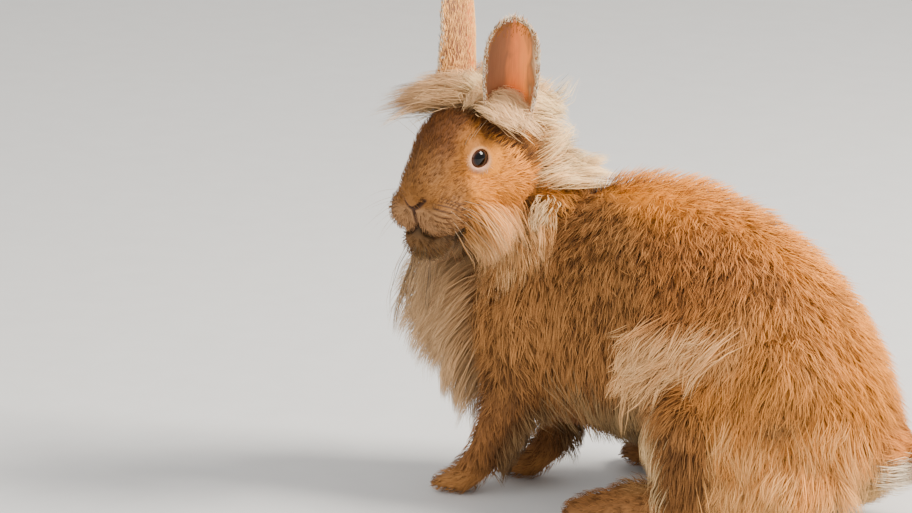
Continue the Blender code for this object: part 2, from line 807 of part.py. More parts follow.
def merge_short_edges(bm):
    """Draws the ends of very short edges together, where the mesh stays closed."""
    found = True
    while found:
        found = False
        for edge in list(bm.edges):
            if not edge.is_valid or edge.calc_length() > SHORT_EDGE:
                continue
            a, b = edge.verts
            around = [{link.other_vert(end) for link in end.link_edges} for end in (a, b)]
            if len(around[0] & around[1]) == 2:
                bmesh.ops.pointmerge(bm, verts=[a, b], merge_co=(a.co + b.co) / 2)
                found = True


def is_sound(bm):
    """Whether a mesh is closed and no face crosses one that it shares no corner with."""
    bm.faces.ensure_lookup_table()
    skin = BVHTree.FromBMesh(bm)
    for a, b in skin.overlap(skin):
        if a < b and not set(bm.faces[a].verts) & set(bm.faces[b].verts):
            return False
    return all(edge.is_manifold for edge in bm.edges)


def thin_flats(obj):
    """Merges the slivers that the cuts leave, as far as the piece stays closed and sound."""
    bm = bmesh.new()
    bm.from_mesh(obj.data)
    merge_short_edges(bm)
    bm.to_mesh(obj.data)
    bm.free()
    for angle in FLAT_ANGLES:
        bm = bmesh.new()
        bm.from_mesh(obj.data)
        bmesh.ops.dissolve_limit(bm, angle_limit=angle, verts=bm.verts, edges=bm.edges)
        bmesh.ops.triangulate(bm, faces=bm.faces)
        sound = is_sound(bm)
        if sound:
            bm.to_mesh(obj.data)
        bm.free()
        if sound:
            break
    return obj


def settle_on_origin(objects):
    """Moves everything so that the box is centred on x and y and stands on z = 0."""
    corners = [obj.matrix_world @ vertex.co for obj in objects for vertex in obj.data.vertices]
    low = [min(corner[i] for corner in corners) for i in range(3)]
    high = [max(corner[i] for corner in corners) for i in range(3)]
    shift = Vector((-(low[0] + high[0]) / 2, -(low[1] + high[1]) / 2, -low[2]))
    for obj in objects:
        obj.data.transform(Matrix.Translation(shift))
    return shift


def grow_locks(pieces):
    """The forelock, mane, beard, bib, flank locks, fringe and tail plume, each on its own node."""
    locks = collection("locks")
    skins = [surface(piece) for piece in pieces.values()]
    frame = head_frame()
    rng = random.Random(SEED)
    crops = [
        ("chest", bib_starts(), BIB),
        ("neck", nape_starts(), NAPE),
        ("tail", plume_starts(), PLUME),
        ("rump", skirt_starts(), SKIRT),
        ("head", throat_starts(frame), THROAT),
        ("head", ruff_starts(frame), RUFF),
        ("head", forelock_starts(frame), FORELOCK),
    ]
    for side in (LEFT, RIGHT):
        crops.append(("head", beard_starts(frame, side), CHEEK))
        crops.append(("torso", flank_starts(side), FLANK))
        crops.append(("thigh_" + SIDE_NAME[side], flank_starts(side), FLANK))
        crops.append(("thigh_" + SIDE_NAME[side], skirt_starts(), SKIRT))
    laid = []
    for name in dict.fromkeys(crop[0] for crop in crops):
        for starts, size in [crop[1:] for crop in crops if crop[0] == name]:
            set_locks(pieces[name], starts, size, rng, skins, laid, locks)
        fuse(pieces[name], locks)


def part_neighbours(pieces, tools):
    """Cuts each piece back from those that it crosses and that come before it in KEPT_WHOLE."""
    names = sorted(pieces, key=lambda name: KEPT_WHOLE.index(name.split("_")[0]))
    for number, kept in enumerate(names):
        for name in names[number + 1:]:
            if surface(pieces[name]).overlap(surface(pieces[kept])):
                clear_of(pieces[name], pieces[kept], tools)


def main():
    clear_scene()
    parts = collection("lionhead_rabbit")
    tools = collection("tools")
    masses = [(trunk_masses,), (neck_masses,)]
    for side in (LEFT, RIGHT):
        masses += [(foreleg_masses, side), (thigh_masses, side), (hindfoot_masses, side)]
    body = flesh("chest", masses, parts, BODY_VOXEL, BODY_FACES)
    level_sole(body, tools)
    pieces = split_body(body, parts, tools)
    pieces["tail"] = flesh("tail", [(tail_masses,)], parts, BODY_VOXEL, TAIL_FACES)
    pieces.update(build_head(parts, tools))
    grow_locks(pieces)
    part_neighbours(pieces, tools)
    for name, piece in pieces.items():
        colour, roughness = COATS.get(name, COATS["fur"])
        piece.data.materials.clear()
        piece.data.materials.append(coat(name + "_coat", colour, roughness))
        thin_flats(piece)
        piece.data.shade_smooth()
        piece.data.set_sharp_from_angle(angle=SHARP_ANGLE)
    return settle_on_origin(list(pieces.values()))


SHIFT = main()
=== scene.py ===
# %% [markdown]
# Looks of the lionhead rabbit
# The solids already give the true outline, out to the tips of the coat. This file dresses them:
# a skin that lies inside them, eyes, ears, claws and whiskers, and over it all a coat of tufts and
# long locks that follow the lie of the hair.

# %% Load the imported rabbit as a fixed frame
import math

import bmesh
import bpy
import numpy as np
from mathutils import Matrix, Vector, noise
from mathutils.bvhtree import BVHTree
from mathutils.kdtree import KDTree


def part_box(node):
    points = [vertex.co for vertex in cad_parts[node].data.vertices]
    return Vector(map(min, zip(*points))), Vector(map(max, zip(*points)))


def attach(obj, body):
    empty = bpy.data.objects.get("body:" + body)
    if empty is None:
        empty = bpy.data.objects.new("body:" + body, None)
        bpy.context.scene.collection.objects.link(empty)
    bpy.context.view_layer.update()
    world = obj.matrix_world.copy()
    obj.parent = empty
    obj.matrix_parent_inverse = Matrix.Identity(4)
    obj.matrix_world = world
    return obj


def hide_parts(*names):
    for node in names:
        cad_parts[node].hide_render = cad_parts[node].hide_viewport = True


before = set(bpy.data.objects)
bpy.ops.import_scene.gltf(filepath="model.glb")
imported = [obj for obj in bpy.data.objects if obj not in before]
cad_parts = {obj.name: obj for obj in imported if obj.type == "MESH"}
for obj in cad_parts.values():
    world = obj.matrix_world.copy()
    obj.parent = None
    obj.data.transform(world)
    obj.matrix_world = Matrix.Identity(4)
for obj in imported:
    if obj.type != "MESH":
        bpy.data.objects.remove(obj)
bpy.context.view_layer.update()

print("solids of the frame:", len(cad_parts))

# %% [markdown]
# Two coordinate systems
# The body is described from the middle of its front paws, nose towards -X and left side towards
# -Y. The head is described in its own frame, x to the nose, y to its left, z up, and then turned.
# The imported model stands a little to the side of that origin, and the left eye says how far.

# %% Pose of the head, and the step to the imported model
LEFT, RIGHT = -1, 1
SIDES = (LEFT, RIGHT)
SIDE_NAME = {LEFT: "left", RIGHT: "right"}
HEAD_AT = Vector((0.0083, -0.034, 0.2064))
HEAD_TURN = math.radians(71)
HEAD_NOD = math.radians(16)
EYE_AT = Vector((0.0125, 0.0155, 0.0095))
EYE_AXIS = Vector((0.30, 0.94, 0.12)).normalized()
EYE_RADIUS = 0.0078
EYE_TO_LIDS = 0.0055


def on_side(point, side):
    """A point of the head's left half, or its mirror on the right half."""
    return Vector((point[0], -side * point[1], point[2]))


HEAD = (
    Matrix.Translation(HEAD_AT)
    @ Matrix.Rotation(math.pi + HEAD_TURN, 4, "Z")
    @ Matrix.Rotation(HEAD_NOD, 4, "Y")
)
eye_low, eye_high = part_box("eye_left")
SHIFT = (eye_low + eye_high) / 2 - HEAD @ on_side(EYE_AT, LEFT)
print("step to the packed model in mm:", [round(1000 * v, 2) for v in SHIFT])

# %% [markdown]
# Small helpers for numbers
# A coat has tens of thousands of tufts, so their places are worked out for all of them at once,
# with rows of numbers. A ramp that eases in and out blends one zone of the coat into the next.

# %% Helpers for whole rows of points
def ramp(value, start, end):
    """0 at start, 1 at end, eased at both ends."""
    share = np.clip((value - start) / (end - start), 0.0, 1.0)
    return share * share * (3 - 2 * share)


def fade(value, start, end):
    """1 at start, 0 at end, eased at both ends."""
    return 1 - ramp(value, start, end)


def laid_flat(way, out, free=0.0):
    """Directions turned into the surface with the normals out, but for the share free."""
    return unit(way - out * (way * out).sum(1, keepdims=True) * (1 - free))


def unit(rows):
    return rows / np.maximum(np.linalg.norm(rows, axis=-1, keepdims=True), 1e-9)


def blend_rows(rows, target, weight):
    """Rows moved towards a target by a weight for each."""
    return rows + (np.asarray(target) - rows) * weight[..., None]


def to_head(points):
    """Body coordinates to the head's own frame."""
    inverse = np.array(HEAD.inverted())
    return points @ inverse[:3, :3].T + inverse[:3, 3]


def turned_by_head(rows):
    """Directions of the head's frame, in body coordinates."""
    return rows @ np.array(HEAD)[:3, :3].T


# %% [markdown]
# Camera
# The photograph was taken with a long lens from low in front of the animal's left side. The lens,
# the distance and the aim follow from one scale, 1.7 pixels to the millimetre, and from one point:
# the middle of the left front paw.

# %% Camera at the photograph's viewing angle
PICTURE = (912, 513)
PIXELS_PER_METRE = 1700.0
LENS_MM = 170.0
CAMERA_AZIMUTH = math.radians(18)
CAMERA_ELEVATION = math.radians(15)
PAW_AT = Vector((0.0, -0.022, 0.0))
PAW_PIXEL = (460, 493)


def aim_camera():
    data = bpy.data.cameras.new("camera")
    data.lens = LENS_MM
    data.clip_end = 50
    camera = bpy.data.objects.new("camera", data)
    bpy.context.scene.collection.objects.link(camera)
    level = math.cos(CAMERA_ELEVATION)
    right = Vector((math.cos(CAMERA_AZIMUTH), math.sin(CAMERA_AZIMUTH), 0))
    back = Vector((right.y * level, -right.x * level, math.sin(CAMERA_ELEVATION)))
    up = back.cross(right)
    aside = (PAW_PIXEL[0] - PICTURE[0] / 2) / PIXELS_PER_METRE
    raised = (PAW_PIXEL[1] - PICTURE[1] / 2) / PIXELS_PER_METRE
    target = PAW_AT + SHIFT - right * aside + up * raised
    camera.location = target + back * (LENS_MM / data.sensor_width * PICTURE[0] / PIXELS_PER_METRE)
    camera.rotation_euler = (-back).to_track_quat("-Z", "Y").to_euler()
    bpy.context.scene.camera = camera
    return camera


camera = aim_camera()
print("camera at", [round(v, 3) for v in camera.location])

# %% [markdown]
# Flesh under the coat
# A soft body is easiest as overlapping balls and tapered limbs that a voxel remesh melts into one
# closed skin. Each mass is thinner than the solid by the depth of the coat that will stand on it.

# %% Balls, limbs and the trunk
COAT_DEPTH = {"trunk": 0.0090, "neck": 0.0080, "leg": 0.0045, "foot": 0.0028, "tail": 0.0090, "face": 0.0018}
TRUNK = (
    (-0.026, 0.133, 0.123, 0.000),
    (-0.021, 0.150, 0.104, 0.017),
    (-0.008, 0.163, 0.083, 0.031),
    (0.009, 0.171, 0.062, 0.041),
    (0.030, 0.174, 0.044, 0.047),
    (0.055, 0.182, 0.038, 0.049),
    (0.080, 0.1965, 0.037, 0.052),
    (0.108, 0.2005, 0.037, 0.057),
    (0.140, 0.1970, 0.036, 0.062),
    (0.174, 0.182, 0.026, 0.066),
    (0.206, 0.161, 0.012, 0.064),
    (0.231, 0.134, 0.009, 0.055),
    (0.249, 0.103, 0.012, 0.041),
    (0.259, 0.075, 0.022, 0.025),
    (0.262, 0.052, 0.044, 0.000),
)
FOREFOOT_SPREAD = 0.040
HINDFOOT_SPREAD = 0.122
TAIL_ROOT = Vector((0.242, 0.000, 0.042))
TAIL_WAY = Vector((0.98, 0.10, -0.05)).normalized()
TAIL_LENGTH = 0.042
FORELEG_REACH = {LEFT: 0.000, RIGHT: 0.029}
TOES = (-1.5, -0.5, 0.5, 1.5)
FORE_TOES = (0.0012, 0.0042)
HIND_TOES = (0.0022, 0.0050)


def blob(bm, centre, radii, depth, pitch=0.0):
    """An ellipsoid of flesh, thinner all round by a depth. Pitch lowers its -X end, in degrees."""
    thinner = [radius - depth for radius in radii]
    turn = Matrix.Rotation(math.radians(-pitch), 4, "Y")
    place = Matrix.Translation(centre) @ turn @ Matrix.Diagonal((*thinner, 1.0))
    bmesh.ops.create_icosphere(bm, subdivisions=3, radius=1.0, matrix=place)


def pour(part, bm):
    """Moves the faces of one bmesh into another."""
    mesh = bpy.data.meshes.new("poured")
    part.to_mesh(mesh)
    part.free()
    bm.from_mesh(mesh)
    bpy.data.meshes.remove(mesh)


def limb(bm, joints, radii, depth):
    """A tapered limb along a few joints, made of overlapping balls."""
    for (a, b), (ra, rb) in zip(zip(joints, joints[1:]), zip(radii, radii[1:])):
        count = max(2, math.ceil((Vector(b) - Vector(a)).length / (0.4 * min(ra, rb))))
        for i in range(count + 1):
            radius = ra + (rb - ra) * i / count
            blob(bm, Vector(a).lerp(Vector(b), i / count), (radius, radius, radius), depth)


def trunk(bm, depth):
    """A ball whose rings are moved to the cross sections of the trunk, wider low down."""
    turn = Matrix.Rotation(math.radians(-90), 4, "Y")
    rings = 3 * (len(TRUNK) - 1)
    made = bmesh.ops.create_uvsphere(bm, u_segments=40, v_segments=rings, radius=1.0, matrix=turn)
    middle_x = (TRUNK[0][0] + TRUNK[-1][0]) / 2
    shorter = 1 - 2 * depth / (TRUNK[-1][0] - TRUNK[0][0])
    for vertex in made["verts"]:
        along = math.acos(max(-1.0, min(1.0, -vertex.co.x))) / math.pi * (len(TRUNK) - 1)
        first = min(int(along), len(TRUNK) - 2)
        x, top, bottom, half = [a + (b - a) * (along - first) for a, b in zip(TRUNK[first], TRUNK[first + 1])]
        ring = max(1e-6, math.hypot(vertex.co.y, vertex.co.z))
        across, height = vertex.co.y / ring, vertex.co.z / ring
        tall = max(0.0, (top - bottom) / 2 - depth)
        wide = max(0.0, half - depth)
        x = middle_x + (x - middle_x) * shorter
        vertex.co = (x, wide * across * (1 - 0.14 * height), (top + bottom) / 2 + tall * height)


# %% [markdown]
# Legs and feet
# The front legs reach forwards to the floor, the right one a little further back. Each foot has
# four toes side by side, which the short fur of the foot later softens.

# %% Masses of the legs, feet, neck and tail
def toe_step(place, toes):
    """From the middle of a foot to a toe, the outer ones a little further back than the inner."""
    return Vector((toes[0] * abs(place) ** 1.5, toes[1] * place, 0))


def foreleg(bm, side):
    reach = FORELEG_REACH[side]
    half = FOREFOOT_SPREAD / 2
    shoulder = Vector((0.042, side * 0.027, 0.104))
    elbow = Vector((0.036 + 0.6 * reach, side * 0.028, 0.068))
    wrist = Vector((0.014 + reach, side * (half + 0.003), 0.023))
    knuckles = Vector((0.001 + reach, side * half, 0.0085))
    limb(bm, [shoulder, elbow, wrist], [0.0245, 0.0205, 0.0138], COAT_DEPTH["leg"])
    limb(bm, [wrist, knuckles], [0.0128, 0.0112], COAT_DEPTH["foot"])
    toes = Vector((-0.014 + 0.95 * reach, side * half, 0.0062))
    for place in TOES:
        aside = toe_step(place, FORE_TOES)
        limb(bm, [knuckles + aside * 0.8, toes + aside], [0.0078, 0.0062], COAT_DEPTH["foot"])


def hindleg(bm, side):
    hip = Vector((0.196, side * 0.035, 0.092))
    knee = Vector((0.141, side * 0.042, 0.068))
    hock = Vector((0.180, side * 0.047, 0.034))
    depth = COAT_DEPTH["trunk"]
    limb(bm, [hip, knee, hock], [0.036, 0.027, 0.021], depth)
    blob(bm, (0.170, side * 0.035, 0.070), (0.056, 0.034, 0.050), depth, pitch=-16)
    limb(bm, [(0.146, side * 0.050, 0.062), (0.149, side * 0.052, 0.026)], [0.026, 0.023], depth)
    blob(bm, (0.196, side * 0.040, 0.038), (0.044, 0.028, 0.030), depth)


def hindfoot(bm, side):
    half = HINDFOOT_SPREAD / 2
    heel = Vector((0.174, side * (half - 0.010), 0.016))
    instep = Vector((0.114, side * half, 0.0150))
    toes = Vector((0.082, side * half, 0.0105))
    limb(bm, [heel, instep], [0.0175, 0.0172], COAT_DEPTH["foot"])
    for place in TOES:
        aside = toe_step(place, HIND_TOES)
        limb(bm, [instep + aside * 0.7, toes + aside], [0.0140, 0.0092], COAT_DEPTH["foot"])


def neck(bm):
    limb(bm, [(0.042, 0.000, 0.138), (0.030, -0.002, 0.180)], [0.042, 0.030], COAT_DEPTH["neck"])
    blob(bm, (0.052, 0.000, 0.176), (0.026, 0.032, 0.022), COAT_DEPTH["neck"])


def tail(bm):
    tip = TAIL_ROOT + TAIL_WAY * (TAIL_LENGTH - 0.006)
    joints = [TAIL_ROOT - Vector((0.012, 0, 0)), TAIL_ROOT.lerp(tip, 0.5), tip]
    limb(bm, joints, [0.017, 0.0175, 0.0145], COAT_DEPTH["tail"])


# %% [markdown]
# The head
# A rabbit's head is a long wedge: a broad jaw and cheeks, round whisker pads, a split upper lip and
# a small chin. Each is one mass. Rings for the eyelids are melted in with the rest, so that they
# grow out of the face as real folds do.

# %% Masses of the head, in its own frame
LID_RADIUS = 0.0062
LID_HEIGHT = 0.0051
LID_THICKNESS = 0.0015


def skull(bm, depth):
    blob(bm, (-0.016, 0, 0.006), (0.035, 0.0285, 0.029), depth)
    blob(bm, (0.010, 0, 0.010), (0.028, 0.0230, 0.025), depth)
    limb(bm, [(0.010, 0, 0.014), (0.043, 0, 0.003)], [0.0215, 0.0145], depth)
    blob(bm, (0.0485, 0, -0.002), (0.0100, 0.0105, 0.0098), depth)
    blob(bm, (0.0465, 0, -0.0120), (0.0105, 0.0085, 0.0085), depth)
    blob(bm, (0.034, 0, -0.011), (0.019, 0.0175, 0.016), depth)
    blob(bm, (0.046, 0, -0.027), (0.0145, 0.0160, 0.0125), depth)
    blob(bm, (0.016, 0, -0.024), (0.033, 0.0185, 0.017), depth)
    for side in SIDES:
        blob(bm, on_side((0.0410, 0.0112, -0.0120), side), (0.0162, 0.0142, 0.0140), depth)
        blob(bm, on_side((-0.010, 0.0185, -0.007), side), (0.030, 0.0155, 0.027), depth)
        blob(bm, on_side((0.012, 0.0145, 0.010), side), (0.0135, 0.0085, 0.0125), depth)
        blob(bm, on_side((0.026, 0.0125, -0.009), side), (0.020, 0.0125, 0.015), depth)
        blob(bm, on_side((0.010, 0.0150, -0.012), side), (0.024, 0.0130, 0.017), depth)


def eye_place(side):
    """A frame on the eye whose z points out of the socket and whose y points up."""
    out = on_side(EYE_AXIS, side)
    level = Vector((0, 0, 1)).cross(out).normalized()
    turn = Matrix((level, out.cross(level), out)).transposed().to_4x4()
    return Matrix.Translation(on_side(EYE_AT, side)) @ turn


def lid_ring(bm, side):
    """A ring round the bulge of the eye, drawn out to the corners of the lids."""
    ring = bmesh.new()
    out = Matrix.Translation((LID_RADIUS, 0, LID_HEIGHT)) @ Matrix.Rotation(math.pi / 2, 4, "X")
    bmesh.ops.create_circle(ring, segments=12, radius=LID_THICKNESS, matrix=out)
    rim = ring.verts[:] + ring.edges[:]
    bmesh.ops.spin(ring, geom=rim, cent=(0, 0, 0), axis=(0, 0, 1), angle=math.tau, steps=40, use_merge=True)
    bmesh.ops.recalc_face_normals(ring, faces=ring.faces)
    bmesh.ops.scale(ring, vec=(1.08, 0.98, 1.0), verts=ring.verts)
    ring.transform(eye_place(side))
    pour(ring, bm)


# %% [markdown]
# From masses to one skin
# A voxel remesh turns any overlapping closed shapes into one even surface. The head gets a finer
# one than the body, and a Boolean union joins them in the neck, deep under the mane.

# %% Melt the body and the head
BODY_VOXEL = 0.0026
HEAD_VOXEL = 0.0011


def object_of(bm, name):
    mesh = bpy.data.meshes.new(name)
    bm.to_mesh(mesh)
    bm.free()
    made = bpy.data.objects.new(name, mesh)
    bpy.context.scene.collection.objects.link(made)
    return made


def apply_modifiers(obj):
    bpy.context.view_layer.update()
    graph = bpy.context.evaluated_depsgraph_get()
    mesh = bpy.data.meshes.new_from_object(obj.evaluated_get(graph))
    obj.modifiers.clear()
    old = obj.data
    obj.data = mesh
    bpy.data.meshes.remove(old)
    return obj


def melt(obj, voxel, passes):
    remesh = obj.modifiers.new("melt", "REMESH")
    remesh.mode = "VOXEL"
    remesh.voxel_size = voxel
    smooth = obj.modifiers.new("smooth", "SMOOTH")
    smooth.factor = 0.6
    smooth.iterations = passes
    return apply_modifiers(obj)


def cut_with(obj, operation, other):
    step = obj.modifiers.new("cut", "BOOLEAN")
    step.operation = operation
    step.object = other
    step.solver = "MANIFOLD"
    apply_modifiers(obj)
    bpy.data.objects.remove(other)
    return obj


def melted_body():
    bm = bmesh.new()
    trunk(bm, COAT_DEPTH["trunk"])
    neck(bm)
    tail(bm)
    for side in SIDES:
        foreleg(bm, side)
        hindleg(bm, side)
        hindfoot(bm, side)
    return melt(object_of(bm, "body_skin"), BODY_VOXEL, 8)


def melted_head():
    bm = bmesh.new()
    skull(bm, COAT_DEPTH["face"])
    plain = melt(object_of(bm, "plain_head"), HEAD_VOXEL, 22)
    bm = bmesh.new()
    bm.from_mesh(plain.data)
    bpy.data.objects.remove(plain)
    for side in SIDES:
        lid_ring(bm, side)
    return melt(object_of(bm, "head_skin"), HEAD_VOXEL, 3)


body_skin = melted_body()
head_skin = melted_head()
print("faces of the body and head skins:", len(body_skin.data.polygons), len(head_skin.data.polygons))

# %% [markdown]
# Nostrils, lips and eye openings
# The nose is two slanting slits that run down into the cleft of the lip. They are lines on the
# face: points near a line sink in, the nearer the deeper. The muzzle is first split finer, so that
# the slits stay crisp. The openings of the eyes are cut clean through the lid rings.

# %% Carve the face
FACE_LINES = (
    (((0.0000, -0.0050), (0.0000, -0.0110), (0.0000, -0.0165)), 0.0018, 0.0009),
    (((0.0008, -0.0046), (0.0036, -0.0032), (0.0068, 0.0000)), 0.0034, 0.0012),
    (((0.0002, -0.0162), (0.0045, -0.0200), (0.0100, -0.0225), (0.0150, -0.0220)), 0.0026, 0.0011),
)


def split_finer(obj, chosen):
    bm = bmesh.new()
    bm.from_mesh(obj.data)
    edges = [e for e in bm.edges if chosen((e.verts[0].co + e.verts[1].co) / 2)]
    bmesh.ops.subdivide_edges(bm, edges=edges, cuts=1, use_grid_fill=True)
    bm.to_mesh(obj.data)
    bm.free()


def vertex_rows(obj):
    points = np.empty(3 * len(obj.data.vertices))
    normals = np.empty_like(points)
    obj.data.vertices.foreach_get("co", points)
    obj.data.vertices.foreach_get("normal", normals)
    return points.reshape(-1, 3), normals.reshape(-1, 3)


def distance_to_line(points, line):
    """Distance of points to a line of a few corners, all given as y and z."""
    best = np.full(len(points), 1.0)
    for a, b in zip(line, line[1:]):
        a, b = np.array(a), np.array(b)
        share = np.clip((points - a) @ (b - a) / ((b - a) @ (b - a)), 0, 1)
        best = np.minimum(best, np.linalg.norm(points - a - share[:, None] * (b - a), axis=1))
    return best


def near_face_line(head, lines=FACE_LINES):
    """Distance of points of the muzzle to the nostrils, the cleft and the mouth."""
    both = [[(side * y, z) for y, z in line[0]] for line in lines for side in SIDES]
    found = [distance_to_line(head[:, 1:], corners) for corners in both]
    return np.minimum.reduce(found) + 0.02 * fade(head[:, 0], 0.038, 0.046)


def carve_face(obj):
    points, normals = vertex_rows(obj)
    front = ramp(points[:, 0], 0.030, 0.036) * ramp(normals[:, 0], -0.1, 0.3)
    sink = np.zeros(len(points))
    for line, depth, width in FACE_LINES:
        for side in SIDES:
            corners = [(side * y, z) for y, z in line]
            near = distance_to_line(points[:, 1:], corners)
            sink = np.maximum(sink, depth * np.exp(-(near / width) ** 2))
    points = points - normals * (sink * front)[:, None]
    obj.data.vertices.foreach_set("co", points.ravel())
    obj.data.update()


def open_eye(obj, side):
    opening = bmesh.new()
    inner, outer = LID_RADIUS - 0.0011, LID_RADIUS + 0.0012
    bmesh.ops.create_cone(opening, cap_ends=True, segments=48, radius1=inner, radius2=outer, depth=0.010)
    bmesh.ops.scale(opening, vec=(1.08, 0.97, 1.0), verts=opening.verts)
    opening.transform(eye_place(side) @ Matrix.Translation((0, 0, 0.0092)))
    cut_with(obj, "DIFFERENCE", object_of(opening, "opening"))
    socket = bmesh.new()
    bmesh.ops.create_uvsphere(socket, u_segments=48, v_segments=32, radius=EYE_RADIUS + 0.00025)
    socket.transform(eye_place(side))
    cut_with(obj, "DIFFERENCE", object_of(socket, "socket"))


split_finer(head_skin, lambda p: p.x > 0.036 and p.z > -0.026)
carve_face(head_skin)
for side in SIDES:
    open_eye(head_skin, side)
head_skin.data.transform(HEAD)
print("faces of the carved head:", len(head_skin.data.polygons))

# %% [markdown]
# One skin, unwrapped
# The skin is one closed surface from nose to tail. An unwrap of it by its own shape gives every
# root of a tuft a place of its own, which the coat's map for baking uses later.

# %% Join and unwrap the skin
SKIN_OVER_FLOOR = 0.0004


def joined_skin():
    skin = cut_with(body_skin, "UNION", head_skin)
    skin.name = "rabbit_skin"
    skin.data.name = "rabbit_skin"
    bm = bmesh.new()
    bm.from_mesh(skin.data)
    for vertex in bm.verts:
        vertex.co.z = max(vertex.co.z, SKIN_OVER_FLOOR)
    bmesh.ops.triangulate(bm, faces=bm.faces)
    bm.to_mesh(skin.data)
    bm.free()
    skin.data.shade_smooth()
    return skin


def unwrap(obj):
    for other in bpy.context.selected_objects:
        other.select_set(False)
    obj.select_set(True)
    bpy.context.view_layer.objects.active = obj
    obj.data.uv_layers.new(name="shape")
    bpy.ops.object.mode_set(mode="EDIT")
    bpy.ops.mesh.select_all(action="SELECT")
    bpy.ops.uv.smart_project(angle_limit=math.radians(66), island_margin=0.002)
    bpy.ops.object.mode_set(mode="OBJECT")
    obj.select_set(False)


skin = joined_skin()
unwrap(skin)
print("triangles of the skin:", len(skin.data.polygons))

# %% [markdown]
# Markings
# The coat is orange-brown above, duller on the shoulder and flank, and cream on the mane, the breast,
# the belly, the flank locks and the fringe, with painted shade darkening the belly and the chin. One
# function gives the colour of any point; the skin and the tufts that grow from it ask the same function.

# %% Colours and zones of the coat
COLOURS = {
    "back": "#F49A38",
    "flank": "#BA8048",
    "haunch": "#E6984A",
    "thigh": "#6E4828",
    "tick": "#4A2C17",
    "cream": "#FFD69C",
    # The belly's colour is its own cream-grey darkened by painted shade, as the underside lies in shade.
    "belly": "#8E7450",
    "breast": "#B08A62",
    "bib": "#E6BC8C",
    "beard": "#FFD29A",
    "fringe": "#F0C080",
    "mane": "#FFDAA2",
    "face": "#A66828",
    "brow": "#62391B",
    "cheek": "#F49A3A",
    "muzzle": "#8C5E30",
    "lid": "#E6AE8C",
    "eye_ring": "#E2A066",
    # The chin's colour is painted shade, far darker than its own pale beige hair.
    "chin": "#45331A",
    "leg": "#9A6638",
    "foot": "#B87F48",
    "tail": "#E08E42",
    "tail_under": "#FAE8CC",
    "lip": "#B88A60",
    # The colour painted into the nostrils, the cleft of the lip and the mouth line: painted shade in their
    # creases.
    "nose": "#4A2A14",
    "ear": "#FFBA6C",
    "loin": "#CE8444",
    "lock": "#9A6234",
    "forelock": "#FFCE98",
    "hindfoot": "#9A683A",
}


def linear(hex_colour):
    """An sRGB hex colour as linear red, green and blue."""
    values = [int(hex_colour[i:i + 2], 16) / 255 for i in (1, 3, 5)]
    return [v / 12.92 if v <= 0.04045 else ((v + 0.055) / 1.055) ** 2.4 for v in values]


TINT = {name: np.array(linear(value)) for name, value in COLOURS.items()}


def soft_ball(points, centre, radii):
    """1 well inside an ellipsoid, 0 well outside it."""
    away = np.linalg.norm((points - np.array(centre)) / np.array(radii), axis=1)
    return fade(away, 0.75, 1.25)


def painted(colour, *layers):
    """A colour with others laid over it in turn, each a name and its weight at every point."""
    for name, weight in layers:
        colour = blend_rows(colour, TINT[name], weight)
    return colour


def zones(points):
    """How far each point belongs to the parts of the body, as weights from 0 to 1."""
    x, y, z = points.T
    head = to_head(points)
    side = np.abs(y)
    flat = points * [1, 0, 1]
    hindfoot = fade(z, 0.024, 0.034) * ramp(x, 0.060, 0.072) * fade(x, 0.160, 0.190)
    return {
        "head": soft_ball(head, (0.004, 0, -0.004), (0.066, 0.045, 0.050)),
        "foreleg": fade(z, 0.055, 0.090) * fade(x, 0.066, 0.088),
        "forepaw": fade(z, 0.014, 0.026) * fade(x, 0.050, 0.066),
        "hindfoot": hindfoot * ramp(side, 0.032, 0.042),
        "tail": ramp(x, 0.247, 0.257) * fade(z, 0.056, 0.072),
        "haunch": soft_ball(flat, (0.190, 0, 0.082), (0.058, 1, 0.058)) * ramp(x, 0.12, 0.16),
        "thigh": soft_ball(flat, (0.140, 0, 0.044), (0.030, 1, 0.030)) * ramp(side, 0.02, 0.04),
        "nape": ramp(z - 0.184 - 0.25 * side, -0.004, 0.006) * fade(x, 0.046, 0.062),
    }


